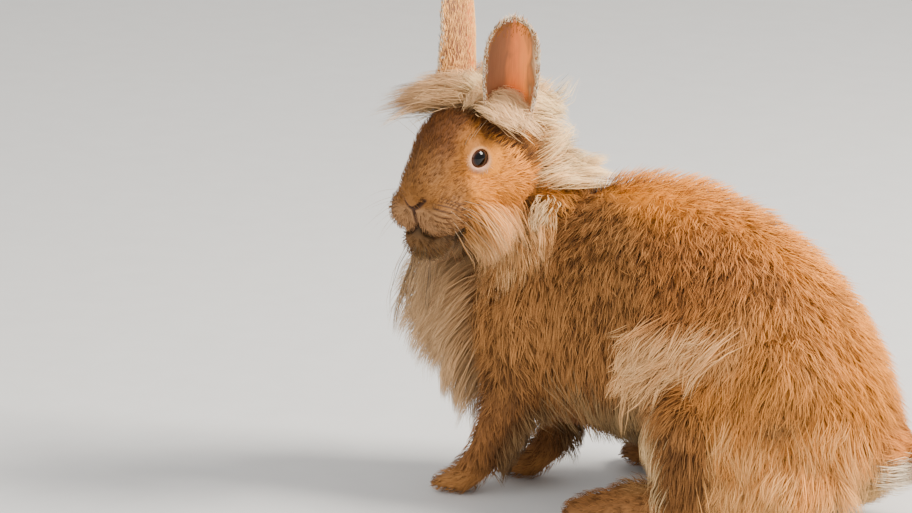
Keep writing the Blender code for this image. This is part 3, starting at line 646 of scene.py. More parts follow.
def markings(points, normals):
    """The colour of the coat at each point."""
    x, y, z = points.T
    side = np.abs(y)
    area = zones(points)
    wander = 0.010 * np.sin(31 * x + 2) * np.sin(47 * z) + 0.006 * np.sin(83 * x + 60 * z)
    ridge = 0.181 - 6.0 * np.maximum(0, x - 0.13) ** 2
    rump = ramp(x + wander, 0.195, 0.235) * ramp(z, 0.05, 0.09)
    # Whatever faces down takes the belly's darkened colour: painted shade on the underside.
    under = ramp(-normals[:, 2], 0.15, 0.65) * ramp(z, 0.012, 0.030)
    breast = fade(x + 0.5 * side + wander, 0.014, 0.036) * ramp(z, 0.060, 0.085)
    middle = 0.100 + 0.30 * (x - 0.122) - 9.0 * np.maximum(0, 0.122 - x) ** 1.5
    band = fade(np.abs(z - middle + wander), 0.010, 0.024) * ramp(x, 0.082, 0.100)
    band *= fade(x, 0.166, 0.190) * ramp(side, 0.020, 0.034)
    edge = ramp(x, 0.110, 0.118) * fade(x, 0.132, 0.140) * fade(z, 0.06, 0.08) * ramp(side, 0.03, 0.04)
    fringe = fade(z + wander, 0.034, 0.056) * ramp(x, 0.152, 0.174) * (1 - area["hindfoot"])
    tail_low = fade(z - 0.04 * (x - 0.26), 0.030, 0.042)
    body = painted(
        np.tile(TINT["flank"], (len(points), 1)),
        ("thigh", 0.45 * fade(z, 0.075, 0.115)),
        ("loin", 0.8 * ramp(x + 0.3 * (z - 0.1) + wander, 0.105, 0.160)),
        ("back", ramp(z - ridge + 0.6 * wander, -0.014, 0.010)),
        ("haunch", 0.85 * area["haunch"]),
        ("back", 0.8 * rump),
        ("thigh", area["thigh"]),
        ("belly", under * (1 - area["foreleg"])),
        ("breast", breast),
        ("cream", 0.2 * band),
        ("fringe", 0.7 * edge),
        ("fringe", 0.75 * fringe),
        ("leg", area["foreleg"]),
        # The back of each front leg is darkened with the thigh's brown: painted shade.
        ("thigh", 0.75 * area["foreleg"] * ramp(normals[:, 0], -0.3, 0.4)),
        ("foot", area["forepaw"]),
        ("hindfoot", area["hindfoot"]),
        ("tail", area["tail"]),
        ("tail_under", area["tail"] * tail_low),
        ("mane", area["nape"]),
    )
    return blend_rows(body, face_markings(to_head(points)), area["head"])


def face_markings(head):
    """The colour of the head, in its own frame: darker brow, partly painted shade under the forelock, pale
    lids, orange cheek, and a chin painted dark as shade.
    """
    x, y, z = head.T
    side = np.abs(y)
    # The brow is darker partly by its own brown and partly by painted shade under the forelock.
    brow = ramp(z - 0.1 * x, -0.003, 0.011) * ramp(x, -0.020, 0.000) * fade(side, 0.009, 0.018)
    muzzle = ramp(x, 0.026, 0.044) * ramp(z, -0.026, -0.014)
    pad = soft_ball(head, (0.046, 0, -0.011), (0.0135, 1, 0.010)) * ramp(side, 0.010, 0.015)
    rows = ramp(np.sin((z - 0.8 * x) * math.tau / 0.0034 + 2.2 * np.sin(510 * x + 300 * y)), 0.0, 0.8)
    cheek = soft_ball(head, (0.004, 0, -0.009), (0.024, 1, 0.021)) * ramp(side, 0.008, 0.018)
    # A dark streak behind the eye, under the ear: partly dark fur, partly painted shade under the ear and
    # forelock.
    streak = fade(np.abs(x + 0.0105 - 0.47 * z), 0.0030, 0.0065) * ramp(side, 0.012, 0.018)
    streak *= ramp(z, -0.012, -0.004) * fade(z, 0.024, 0.030)
    lip = -0.0160 - 0.0065 * ramp(side, 0.001, 0.010) - 0.006 * fade(x, 0.012, 0.030)
    ruff = fade(x + 0.3 * z, -0.034, -0.020) * ramp(z, -0.026, -0.012)
    crown = ramp(z - 0.2 * x, 0.027, 0.033) * fade(x, -0.002, 0.006)
    colour = painted(
        np.tile(TINT["face"], (len(head), 1)),
        ("brow", 0.85 * brow),
        ("muzzle", 0.7 * muzzle),
        ("lip", 0.7 * soft_ball(head, (0.058, 0, -0.013), (0.012, 1, 0.009))),
        ("tick", 0.95 * pad * rows),
        ("cheek", cheek),
        ("tick", 0.9 * streak),
        # Everything below the mouth line is painted dark: painted shade over the chin's own pale hair.
        ("chin", fade(z - lip, -0.0018, 0.0004)),
        ("mane", ruff),
        ("mane", 0.9 * crown),
    )
    for hand in SIDES:
        ring = np.array(on_side(EYE_AT, hand) + on_side(EYE_AXIS, hand) * EYE_TO_LIDS) + [0.0007, 0, -0.0010]
        away = np.linalg.norm(head - ring, axis=1)
        colour = painted(colour, ("eye_ring", fade(away, 0.0070, 0.0088)))
        colour = painted(colour, ("lid", fade(away, 0.0062, 0.0072)))
    # Nostrils, cleft and mouth line are painted dark: painted shade in the creases.
    slit = fade(near_face_line(head, FACE_LINES[:2]), 0.0008, 0.0021)
    mouth = fade(near_face_line(head, FACE_LINES[2:]), 0.0006, 0.0016)
    return painted(colour, ("nose", np.maximum(slit, 0.8 * mouth)))


def store_colour(obj, rows):
    layer = obj.data.attributes.new("marking", "FLOAT_COLOR", "POINT")
    padded = np.ones((len(rows), 4), np.float32)
    padded[:, :3] = rows
    layer.data.foreach_set("color", padded.ravel())


def store_value(obj, name, rows):
    layer = obj.data.attributes.new(name, "FLOAT", "POINT")
    layer.data.foreach_set("value", np.asarray(rows, np.float32))


skin_points, skin_normals = vertex_rows(skin)
skin_colours = markings(skin_points, skin_normals)
store_colour(skin, skin_colours)
print("mean colour of the skin:", np.round(skin_colours.mean(0), 3))

# %% [markdown]
# Lie of the coat
# Hair runs back from the nose over the cheeks and the brow, back along the spine, down the flank,
# down the legs and forwards on the feet. The lie is a direction at every point of the skin, blended
# from zone to zone, and laid flat on the surface.

# %% Direction, depth and length of the short coat
def from_eye(head):
    """From the middle of the nearer eye's opening to each point."""
    mirror = np.ones_like(head)
    mirror[:, 1] = np.where(head[:, 1] < 0, -1, 1)
    return (head * mirror - np.array(EYE_AT + EYE_AXIS * EYE_TO_LIDS)) * mirror


def face_lie(head):
    """Back from the nose, and down on the jaw, in the head's frame."""
    x, y, z = head.T
    side = np.sign(y) * ramp(np.abs(y), 0.002, 0.012)
    back = np.stack([np.full(len(x), -1.0), 0.15 * side, np.full(len(x), 0.18)], 1)
    jaw = np.stack([np.full(len(x), -0.62), 0.12 * side, np.full(len(x), -0.78)], 1)
    lie = blend_rows(back, jaw, fade(z, -0.022, 0.004))
    lip = np.stack([np.full(len(x), -0.55), 0.40 * side, np.full(len(x), -0.62)], 1)
    lie = blend_rows(lie, lip, ramp(x, 0.036, 0.046) * fade(z, -0.010, -0.004))
    away = from_eye(head)
    return blend_rows(lie, unit(away), 0.9 * fade(np.linalg.norm(away, axis=1), 0.0080, 0.0150))


def lie_of_coat(points, normals):
    x = points[:, 0]
    area = zones(points)
    top = ramp(normals[:, 2], 0.78, 0.99)
    lie = np.stack([0.30 - 0.40 * ramp(x, 0.095, 0.170), 0 * x, 0 * x - 1], 1)
    lie = blend_rows(lie, [1.0, 0.0, -0.15], top * fade(x, 0.17, 0.22))
    lie = blend_rows(lie, [-0.12, 0.0, -1.0], ramp(x, 0.19, 0.24))
    lie = blend_rows(lie, [-0.30, 0.0, -0.95], area["haunch"] * fade(x, 0.140, 0.170))
    lie = blend_rows(lie, [0.9, 0.0, -0.1], ramp(-normals[:, 2], 0.5, 0.9) * ramp(x, 0.02, 0.06))
    lie = blend_rows(lie, [-0.10, 0.0, -1.0], area["foreleg"])
    lie = blend_rows(lie, [-1.0, 0.0, -0.25], np.maximum(area["forepaw"], area["hindfoot"]))
    lie = blend_rows(lie, list(TAIL_WAY), area["tail"])
    lie = blend_rows(lie, turned_by_head(face_lie(to_head(points))), area["head"])
    return laid_flat(lie, normals)


def coat_measures(points):
    """Length of the tufts, their width and how far their tips stand off the skin, in metres."""
    area = zones(points)
    leg = np.maximum(area["foreleg"], area["hindfoot"])
    foot = np.maximum(area["forepaw"], area["hindfoot"])
    rows = np.tile([0.0125, 0.00090, 0.0108], (len(points), 1))
    rows = blend_rows(rows, [0.0170, 0.00090, 0.0112], ramp(points[:, 0], 0.130, 0.200))
    rows = blend_rows(rows, [0.0110, 0.00090, 0.0042], leg)
    rows = blend_rows(rows, [0.0075, 0.00075, 0.0042], foot)
    head = to_head(points)
    front = ramp(head[:, 0], -0.012, 0.030)
    face = blend_rows(np.tile([0.0105, 0.00080, 0.0034], (len(points), 1)), [0.0055, 0.00050, 0.0021], front)
    beside_eye = fade(np.linalg.norm(from_eye(head), axis=1), 0.0080, 0.0130)
    face = blend_rows(face, [0.0028, 0.00042, 0.0010], beside_eye)
    return blend_rows(rows, face, area["head"])


# %% [markdown]
# One tuft, and how it is stamped
# A tuft is a three-sided cone: a few rings and a point. Its rings are set along a bent line, so one
# small mesh makes every tuft and lock of the coat. Two maps go with it: the place of its root on
# the skin's unwrap, and a share along its length that the colour reads.

# %% Template of a tuft
PATCH = 0.003
SOFTNESS = 0.55
HAIR_OVER_FLOOR = 0.0005


def tuft_template(rings):
    """A cone of unit length and radius with evenly spaced rings: side, ring and faces."""
    bm = bmesh.new()
    raised = Matrix.Translation((0, 0, 0.5))
    bmesh.ops.create_cone(bm, cap_ends=True, segments=3, radius1=1.0, radius2=0.0, depth=1.0, matrix=raised)
    bmesh.ops.remove_doubles(bm, verts=bm.verts, dist=0.0001)
    for ring in range(1, rings):
        cut = bm.verts[:] + bm.edges[:] + bm.faces[:]
        bmesh.ops.bisect_plane(bm, geom=cut, plane_co=(0, 0, ring / rings), plane_no=(0, 0, 1))
    bmesh.ops.triangulate(bm, faces=bm.faces)
    bmesh.ops.recalc_face_normals(bm, faces=bm.faces)
    corners = np.array([v.co for v in bm.verts])
    bm.verts.index_update()
    faces = np.array([[v.index for v in f.verts] for f in bm.faces])
    bm.free()
    around = np.hypot(corners[:, 0], corners[:, 1])
    side = corners[:, :2] / np.maximum(around, 1e-6)[:, None] * (around > 1e-6)[:, None]
    return side, np.rint(corners[:, 2] * rings).astype(int), faces


def mesh_from_rows(name, points, faces):
    mesh = bpy.data.meshes.new(name)
    mesh.vertices.add(len(points))
    mesh.vertices.foreach_set("co", points.astype(np.float32).ravel())
    mesh.loops.add(faces.size)
    mesh.loops.foreach_set("vertex_index", faces.astype(np.int32).ravel())
    mesh.polygons.add(len(faces))
    mesh.polygons.foreach_set("loop_start", np.arange(0, faces.size, 3, dtype=np.int32))
    mesh.update(calc_edges=True)
    mesh.shade_smooth()
    return mesh


def soften_shading(mesh, out):
    """Turns the shading normals of thin hair part of the way to those of the coat as a whole."""
    own = np.empty(3 * len(mesh.vertices), np.float32)
    mesh.vertices.foreach_get("normal", own)
    mesh.normals_split_custom_set_from_vertices(unit(own.reshape(-1, 3) * (1 - SOFTNESS) + out * SOFTNESS))


def stamp(name, lines, across, width, out, root_uv, root_colour, tip_colour, rng):
    """Sets one tuft along each line and joins them into one object."""
    count, rings = len(lines), lines.shape[1] - 1
    side, ring, faces = tuft_template(rings)
    share = ring / rings
    along = unit(np.gradient(lines, axis=1))[:, ring]
    upright = unit(np.cross(along, across[:, None]))
    swell = np.minimum(1.0, 0.55 + 2.2 * share) * (1 - share) ** 0.7
    half = width[:, None] / 2 * swell[None]
    points = lines[:, ring] + across[:, None] * (half * side[:, 0])[..., None]
    points = points + upright * (half * 0.45 * side[:, 1])[..., None]
    points[..., 2] = np.maximum(points[..., 2], HAIR_OVER_FLOOR)
    all_faces = faces[None] + (np.arange(count) * len(ring))[:, None, None]
    mesh = mesh_from_rows(name, points.reshape(-1, 3), all_faces.reshape(-1, 3))
    made = bpy.data.objects.new(name, mesh)
    bpy.context.scene.collection.objects.link(made)
    colour = root_colour[:, None] + (tip_colour - root_colour)[:, None] * share[None, :, None]
    store_colour(made, colour.reshape(-1, 3))
    store_value(made, "along", np.tile(share, count))
    store_value(made, "chance", np.repeat(rng.random(count), len(ring)))
    corner = all_faces.ravel()
    patch = np.stack([0.45 * side[:, 0], share - 0.5], 1) * PATCH
    spots = (root_uv[:, None] + patch[None]).reshape(-1, 2)[corner]
    mesh.uv_layers.new(name="OFBake").data.foreach_set("uv", spots.astype(np.float32).ravel())
    soften_shading(mesh, np.repeat(out, len(ring), axis=0))
    coat_pieces.append(made)
    print(name, count, "tufts,", len(mesh.polygons), "triangles")


# %% [markdown]
# Roots on the skin
# Roots are drawn at random over the skin's triangles, as many to the area as a zone asks for. Each
# root takes the normal and the place on the unwrap that the skin has there.

# %% Draw roots and comb the tufts
def triangle_rows(obj):
    faces = np.empty(3 * len(obj.data.polygons), np.int32)
    obj.data.polygons.foreach_get("vertices", faces)
    uv = np.empty(2 * len(obj.data.loops), np.float32)
    obj.data.uv_layers["shape"].data.foreach_get("uv", uv)
    return faces.reshape(-1, 3), uv.reshape(-1, 3, 2)


def scatter(obj, weight, count, rng):
    """Roots, normals and unwrap places, where weight is a value at each vertex of the skin."""
    points, normals = vertex_rows(obj)
    faces, uv = triangle_rows(obj)
    a, b, c = (points[faces[:, i]] for i in range(3))
    chance = np.linalg.norm(np.cross(b - a, c - a), axis=1) * weight[faces].mean(1)
    chosen = rng.choice(len(faces), count, p=chance / chance.sum())
    u, v = rng.random((2, count))
    flip = u + v > 1
    u[flip], v[flip] = 1 - u[flip], 1 - v[flip]
    mix = np.stack([1 - u - v, u, v], 1)[..., None]
    roots = (points[faces[chosen]] * mix).sum(1)
    out = unit((normals[faces[chosen]] * mix).sum(1))
    return roots, out, (uv[chosen] * mix).sum(1)


def settle_on(tree, places, heights, exact):
    """Moves points to a height over the skin, or only up to it where they lie lower."""
    settled = places.copy()
    for i, (place, height) in enumerate(zip(places.reshape(-1, 3), heights.ravel())):
        near, normal = tree.find_nearest(Vector(place))[:2]
        over = (Vector(place) - near).dot(normal)
        if exact or over < height:
            settled.reshape(-1, 3)[i] = near + normal * height
    return settled


def gather(lines, ratio, pull, rng):
    """Draws tufts towards the tip of a leader near them, as hair clings, and says which it was."""
    leaders = rng.choice(len(lines), max(1, int(len(lines) * ratio)), replace=False)
    tree = KDTree(len(leaders))
    for i, leader in enumerate(leaders):
        tree.insert(Vector(lines[leader, 0]), i)
    tree.balance()
    nearest = leaders[[tree.find(Vector(root))[1] for root in lines[:, 0]]]
    shares = np.linspace(0, 1, lines.shape[1])[None, :, None] ** 1.5
    return lines + (lines[nearest] - lines) * (pull * shares), nearest


def patches(roots, size, seed):
    """Soft random values from about -1 to 1 that change over a real size in metres."""
    apart = Vector((7.3 * seed, 3.1 * seed, 5.7 * seed))
    return np.array([noise.noise(Vector(root) / size + apart) for root in roots])


def ticked(colour, roots, amount, chance):
    """Darkens some tufts, in small patches, as the dark bands of the hairs do."""
    pale = ramp(colour.mean(1), 0.26, 0.56)
    value = 0.6 * patches(roots, 0.006, 1) + 0.7 * patches(roots, 0.0027, 2) + chance
    dark = ramp(value, -0.10, 0.70) * amount * (1 - 0.9 * pale)
    return blend_rows(colour, TINT["tick"], dark)


skin_tree = BVHTree.FromObject(skin, bpy.context.evaluated_depsgraph_get())
coat_pieces = []


def turned_within(lie, out, angle):
    return unit(lie * np.cos(angle)[:, None] + np.cross(out, lie) * np.sin(angle)[:, None])


def short_coat(names, weight, count, rng, ratio=0.22, pull=0.45, tick=0.8, wild=0.32):
    """Short fur over part of the skin, each tuft laid at its height over the skin.

    The tufts are shared out over as many pieces as there are names, from the front to the back.
    """
    roots, out, uv = scatter(skin, weight, count, rng)
    order = np.argsort(roots[:, 0])
    roots, out, uv = roots[order], out[order], uv[order]
    length, width, height = coat_measures(roots).T
    length = length * rng.uniform(0.70, 1.20, count)
    height = height * rng.uniform(0.50, 1.15, count) * np.where(rng.random(count) < 0.06, 1.2, 1.0)
    angle = rng.normal(0, wild, count) + 0.25 * patches(roots, 0.030, 3) + 0.35 * patches(roots, 0.010, 4)
    lie = turned_within(lie_of_coat(roots, out), out, angle)
    shares = np.linspace(0, 1, 3)
    lines = roots[:, None] + lie[:, None] * (length[:, None] * shares)[..., None]
    lines[:, 1:] = settle_on(skin_tree, lines[:, 1:], height[:, None] * shares[None, 1:] ** 0.8, True)
    lines[:, 0] -= out * 0.0010
    lines, leader = gather(lines, ratio, pull, rng)
    across = unit(np.cross(out, lie))
    width = width * rng.uniform(0.7, 1.3, count)
    chance = rng.normal(0, 0.20, count) + rng.normal(0, 0.26, count)[leader]
    colour = ticked(markings(roots, out), roots, tick, chance)
    for name, part in zip(names, np.array_split(np.arange(count), len(names))):
        rows = (each[part] for each in (lines, across, width, out, uv, colour, colour))
        stamp(name, *rows, rng)


rng = np.random.default_rng(11)
area = zones(skin_points)
skin_head = to_head(skin_points)
hx, hy, hz = skin_head.T
px, py, pz = skin_points.T
on_head = area["head"]
on_limb = np.maximum.reduce([area["foreleg"], area["forepaw"], area["hindfoot"]])
at_eye = fade(np.linalg.norm(from_eye(skin_head), axis=1), 0.0060, 0.0064)
sole = fade(pz, 0.0008, 0.0020)
under_mane = 0.5 * area["nape"]
body_pieces = ["coat_shoulders", "coat_flanks", "coat_loins", "coat_haunches"]
short_coat(body_pieces, (1 - on_head) * (1 - on_limb) * (1 - under_mane), 48000, rng, tick=0.95)
short_coat(["coat_legs"], on_limb * (1 - on_head) * (1 - sole), 8400, rng, tick=0.6)
at_slit = fade(near_face_line(skin_head), 0.0010, 0.0022)
short_coat(["coat_head"], on_head * (1 - at_eye) * (1 - at_slit), 18000, rng, ratio=0.2, pull=0.35, wild=0.3)

# %% [markdown]
# Long hair
# The mane, the beard, the bib, the flank locks and the fringe are strands two to five times as
# long as the short fur. They cling together in locks that end in a common tip, so strands are drawn
# towards a leader, first in wide locks and then in fine ones. Each zone has its own length and lie.

# %% Strands of one zone
def long_hair(name, weight, count, length, height, lie, colours, fall=(0, 0, -1), hang=0.4, width=0.00065,
              pull=(0.5, 0.4), wild=0.20, curl=0.10, own=0.0, shade=0.0, locks=0.025, free=0.0):
    """Strands from one zone: length and height are ranges, colours those of the root and tip.

    A strand starts along its lie and bends towards the way that it falls, by as much as it hangs.
    Some locks keep the colour of the short coat below them, by up to the share own, or that of their
    roots, by up to the share shade. Locks is the share of strands that the others gather to, and
    free the share by which a strand keeps its own way where the skin turns from it.
    """
    roots, out, uv = scatter(skin, weight, count, rng)
    lengths = length[0] + (length[1] - length[0]) * rng.beta(1.3, 1.7, count)
    heights = rng.uniform(*height, count)
    way = unit(lie(roots, out))
    angle = rng.normal(0, wild, count) + 1.2 * wild * patches(roots, 0.012, 5)
    flat = turned_within(laid_flat(way, out, free), out, angle)
    shares = np.linspace(0, 1, 4)
    ease = np.sin(shares * math.pi / 2)
    bend = np.tile(hang * shares, (count, 1))
    forward = unit(blend_rows(np.tile(flat[:, None], (1, 4, 1)), np.array(fall), bend))
    steps = (forward[:, 1:] + forward[:, :-1]) / 2 * (lengths / 3)[:, None, None]
    lines = np.concatenate([roots[:, None], roots[:, None] + np.cumsum(steps, axis=1)], axis=1)
    lines = lines + out[:, None] * (heights[:, None] * ease)[..., None]
    across = unit(np.cross(out, flat))
    phase = rng.uniform(0, math.tau, count)
    wave = curl * lengths[:, None] * np.sin(phase[:, None] + shares[None] * 4.2) * shares[None] * 0.4
    lines = lines + across[:, None] * wave[..., None]
    lines[:, 1:] = settle_on(skin_tree, lines[:, 1:], 0.6 * heights[:, None] * ease[None, 1:], False)
    lines[:, 0] -= out * 0.0015
    lines, wide = gather(lines, locks, pull[0], rng)
    lines, fine = gather(lines, 0.14, pull[1], rng)
    mood = 0.5 * rng.random(count)[wide] + 0.5 * rng.random(count)[fine]
    grain = (0.5 + 0.5 * np.clip(patches(roots, 0.008, 6) + rng.normal(0, 0.35, count), -1, 1))[:, None]
    root_colour = markings(roots, out) * 0.5 + 0.5 * TINT[colours[0]]
    tip_colour = TINT[colours[1]] * (1 - 0.45 * grain) + TINT[colours[0]] * (0.45 * grain)
    keep = own * ramp(mood, 0.48, 0.66)
    tip_colour = blend_rows(tip_colour, markings(roots, out), keep)
    tip_colour = blend_rows(tip_colour, TINT[colours[0]], shade * ramp(-mood, -0.60, -0.38))
    tip_colour = tip_colour * (0.84 + 0.28 * rng.random(count)[fine])[:, None]
    width = width * rng.uniform(0.6, 1.5, count)
    return stamp(name, lines, across, width, out, uv, root_colour, tip_colour, rng)


def fixed(*way):
    """The same lie all over a zone."""
    return lambda roots, out: np.tile(np.array(way, float), (len(roots), 1))


# %% [markdown]
# Breast, belly and shoulder
# The bib hangs straight down from the breast. The belly's hair is thin, its pale colour darkened as
# painted shade, and hangs a little below the body. One small cream tuft stands on each shoulder just behind
# the cheek.

# %% Bib, belly and shoulder tufts
mirrored = np.stack([px, np.abs(py), pz], 1)
bib = fade(px + 0.35 * np.abs(py), 0.014, 0.030) * ramp(pz, 0.066, 0.085) * fade(pz, 0.152, 0.166)
bib *= (1 - on_head) * (1 - area["foreleg"])


def bib_lie(roots, out):
    forward = 0.12 + 0.22 * ramp(roots[:, 2], 0.09, 0.13)
    return np.stack([-forward, 0.10 * np.sin(roots[:, 1] / 0.03), 0 * forward - 0.90], 1)


long_hair("bib", bib, 5400, (0.024, 0.040), (0.016, 0.025), bib_lie, ("breast", "bib"),
          own=0.3, shade=0.4, curl=0.16, free=0.3)
long_hair("bib_front", bib * ramp(pz, 0.100, 0.125), 2200, (0.022, 0.038), (0.023, 0.033), bib_lie,
          ("breast", "bib"), own=0.3, shade=0.4, curl=0.16, free=0.3)
# The belly's hair carries the belly's painted shade.
belly = ramp(-skin_normals[:, 2], 0.0, 0.6) * ramp(px, 0.040, 0.060) * fade(px, 0.115, 0.135)
belly *= (1 - area["foreleg"]) * (1 - area["hindfoot"])
long_hair("belly_hair", belly, 1300, (0.014, 0.024), (0.005, 0.010), fixed(0.3, 0, -1), ("belly", "belly"))
behind_leg = area["foreleg"] * ramp(skin_normals[:, 0], 0.1, 0.6)
behind_leg *= ramp(pz, 0.020, 0.034) * fade(pz, 0.060, 0.075)
long_hair("leg_feathers", behind_leg, 1200, (0.010, 0.018), (0.005, 0.011), fixed(0.45, 0, -1),
          ("thigh", "belly"), hang=0.2, wild=0.3)
upper_arm = soft_ball(mirrored, (0.044, 0.044, 0.128), (0.030, 0.020, 0.022)) * (1 - on_head)
long_hair("shoulder_hair", upper_arm, 900, (0.018, 0.030), (0.008, 0.013), fixed(0.1, 0, -1),
          ("flank", "flank"), hang=0.6, own=1.0, free=0.4)
tufts = soft_ball(mirrored, (0.0510, 0.030, 0.180), (0.0090, 0.012, 0.009)) * (1 - on_head)
long_hair("shoulder_tufts", tufts, 420, (0.008, 0.015), (0.007, 0.010), fixed(-0.02, 0, -1),
          ("beard", "mane"), curl=0.4, wild=0.4, locks=0.06)

# %% [markdown]
# Mane
# The lion's mane is a ruff round the back of the head and long hair on the nape, which stand out
# and back, fine and wispy. The forelock falls forwards between the ears and over the near temple.

# %% Nape, ruff and forelock
def nape_lie(roots, out):
    return np.tile([0.80, 0.0, 0.26], (len(roots), 1)) + out * [0, 0.5, 0]


nape = area["nape"] * (1 - on_head) * ramp(px, 0.020, 0.030)
long_hair("nape_mane", nape, 2200, (0.014, 0.040), (0.005, 0.020), nape_lie, ("mane", "mane"),
          hang=0.1, wild=0.40, curl=0.25, locks=0.02, pull=(0.7, 0.5), free=0.15)


def ruff_lie(roots, out):
    head = to_head(roots)
    high = ramp(head[:, 2], -0.005, 0.020)[:, None]
    away = unit(head * [0, 1, 1])
    return turned_by_head(away * (0.40 + 0.30 * high) + [-0.80, 0, 0] + (1 - high) * [0, 0, -0.15])


ruff = on_head * fade(hx, -0.028, -0.018) * ramp(hz, -0.024, -0.010)
long_hair("ruff", ruff, 4800, (0.016, 0.044), (0.006, 0.019), ruff_lie, ("lock", "mane"),
          shade=0.25, hang=0.12, wild=0.32, curl=0.22)


def by_head(*way):
    """One lie all over a zone, given in the head's frame."""
    return lambda roots, out: turned_by_head(np.tile(np.array(way, float), (len(roots), 1)))


top = on_head * ramp(hz, 0.022, 0.029) * ramp(hx, -0.030, -0.024) * fade(hx, -0.006, 0.002)
far_part = fade(hy, -0.001, 0.005)
near_part = ramp(hy, -0.005, 0.001)
long_hair("forelock_far", top * far_part, 1600, (0.010, 0.052), (0.006, 0.017), by_head(0.60, -0.66, 0.26),
          ("lock", "forelock"), hang=0.20, wild=0.50, curl=0.35, shade=0.6, locks=0.03,
          pull=(0.7, 0.5), free=0.5)
long_hair("forelock_near", top * near_part * fade(hx, -0.010, -0.002), 2000, (0.014, 0.036), (0.006, 0.016),
          by_head(0.10, 0.92, 0.16), ("beard", "forelock"), hang=0.26, wild=0.45, curl=0.3, locks=0.03,
          pull=(0.6, 0.4))
long_hair("forelock_wisps", top * far_part, 260, (0.024, 0.040), (0.006, 0.012), by_head(0.35, -0.50, 0.75),
          ("mane", "mane"), hang=0.05, wild=0.4, width=0.0005)
long_hair("ear_wisps", top * fade(hx, -0.016, -0.008), 520, (0.018, 0.030), (0.004, 0.010),
          by_head(-0.05, -0.10, 1.0), ("mane", "mane"), hang=0.0, wild=0.5, width=0.0005)

# %% [markdown]
# Beard
# Below a line from the corner of the mouth to the back of the jaw the cheek's hair is long and soft.
# It starts back along the cheek, then hangs down and gathers in front of the shoulder.

# %% Beard and throat
def beard_lie(roots, out):
    head = to_head(roots)
    back = 0.30 + 0.35 * ramp(head[:, 0], -0.005, 0.030)
    return turned_by_head(np.stack([-back, 0.12 * np.sign(head[:, 1]), 0 * back - 0.93], 1))


jaw_line = -0.020 + 0.50 * (hx - 0.006)
beard = on_head * fade(hz - jaw_line, -0.003, 0.004)
beard *= ramp(hx, -0.036, -0.028) * fade(hx, 0.024, 0.036)
beard *= ramp(np.abs(hy), 0.004, 0.012)
long_hair("beard", beard, 4600, (0.022, 0.046), (0.003, 0.012), beard_lie, ("cheek", "beard"),
          fall=(0.02, 0.05, -1), hang=0.75, curl=0.18, own=0.5)
# The throat's hair is rooted in the chin's dark colour, painted shade between the beard and the bib.
throat = on_head * fade(hz, -0.036, -0.028) * ramp(hx, -0.020, -0.008) * fade(hx, 0.028, 0.040)
long_hair("throat", throat, 800, (0.008, 0.016), (0.002, 0.008), fixed(-0.2, 0, -1),
          ("chin", "breast"), hang=0.8)

# %% [markdown]
# Flank, fringe and tail
# A fan of cream locks sweeps forwards and down over the front of the haunch. Round the haunches and
# the rump a fringe hangs to just above the floor, and the tail ends in a white plume.

# %% Flank locks, fringe and plume
def flank_lie(roots, out):
    steep = ramp(-roots[:, 0], -0.165, -0.105)
    return np.stack([0.15 * steep - 0.72, 0 * steep, -0.70 - 0.20 * steep], 1)


flank_middle = 0.112 + 0.20 * (px - 0.131) - 6.0 * np.maximum(0, 0.122 - px) ** 1.5
flank_half = 0.024 - 0.012 * ramp(px, 0.130, 0.175)
flank_locks = fade(np.abs(pz - flank_middle) / flank_half, 0.2, 1.0) * ramp(px, 0.104, 0.122)
flank_locks *= ramp(np.abs(py), 0.024, 0.036) * fade(px, 0.150, 0.188)
long_hair("flank_locks", flank_locks, 2000, (0.016, 0.038), (0.008, 0.016), flank_lie, ("loin", "cream"),
          hang=0.15, pull=(0.75, 0.6), locks=0.05, wild=0.30, curl=0.25, own=0.6, shade=0.2)


def fringe_lie(roots, out):
    return unit((roots - [0.184, 0, 0]) * [1, 1, 0]) * 0.12 + [0, 0, -0.98]


hem = ramp(pz, 0.024, 0.034) * fade(pz, 0.066, 0.090) * (1 - area["tail"])
hem *= ramp(skin_normals[:, 2], -0.6, -0.2)
front = ramp(px, 0.122, 0.140) * fade(px, 0.152, 0.172)
long_hair("thigh_fringe", hem * front, 2000, (0.018, 0.034), (0.007, 0.012), fringe_lie, ("thigh", "flank"),
          curl=0.2, wild=0.3, own=0.7)
rear = ramp(px, 0.152, 0.172) * fade(px, 0.232, 0.242)
long_hair("fringe", hem * rear, 4200, (0.022, 0.042), (0.008, 0.015), fringe_lie, ("haunch", "fringe"),
          pull=(0.7, 0.4), curl=0.4, wild=0.30, own=0.9, shade=0.3)
edge = ramp(-skin_normals[:, 0], 0.15, 0.6) * ramp(px, 0.112, 0.122) * fade(px, 0.140, 0.152)
edge *= ramp(pz, 0.022, 0.034) * fade(pz, 0.072, 0.084) * ramp(np.abs(py), 0.034, 0.042)
long_hair("thigh_edge", edge, 700, (0.018, 0.030), (0.009, 0.015), fixed(0, 0, -1),
          ("belly", "cream"), hang=0.5, wild=0.12)
on_tail = ramp(px, 0.238, 0.248)
long_hair("tail_top", on_tail * ramp(pz, 0.036, 0.046) * fade(pz, 0.060, 0.070), 1300, (0.018, 0.030),
          (0.006, 0.010), fixed(*TAIL_WAY), ("tail", "tail"), hang=0.1)
long_hair("tail_plume", on_tail * fade(pz, 0.034, 0.044), 2400, (0.022, 0.038), (0.007, 0.014),
          fixed(*TAIL_WAY), ("tail_under", "tail_under"), hang=0.2, wild=0.3, curl=0.2)

# %% [markdown]
# Materials
# Hair is dull at its root, partly by its undercolour and partly by painted shade deep in the coat, and
# brighter towards its tip as painted light; each tuft is a little lighter or darker than its neighbour.
# A soft sheen at grazing angles stands for the light that fine hair scatters.

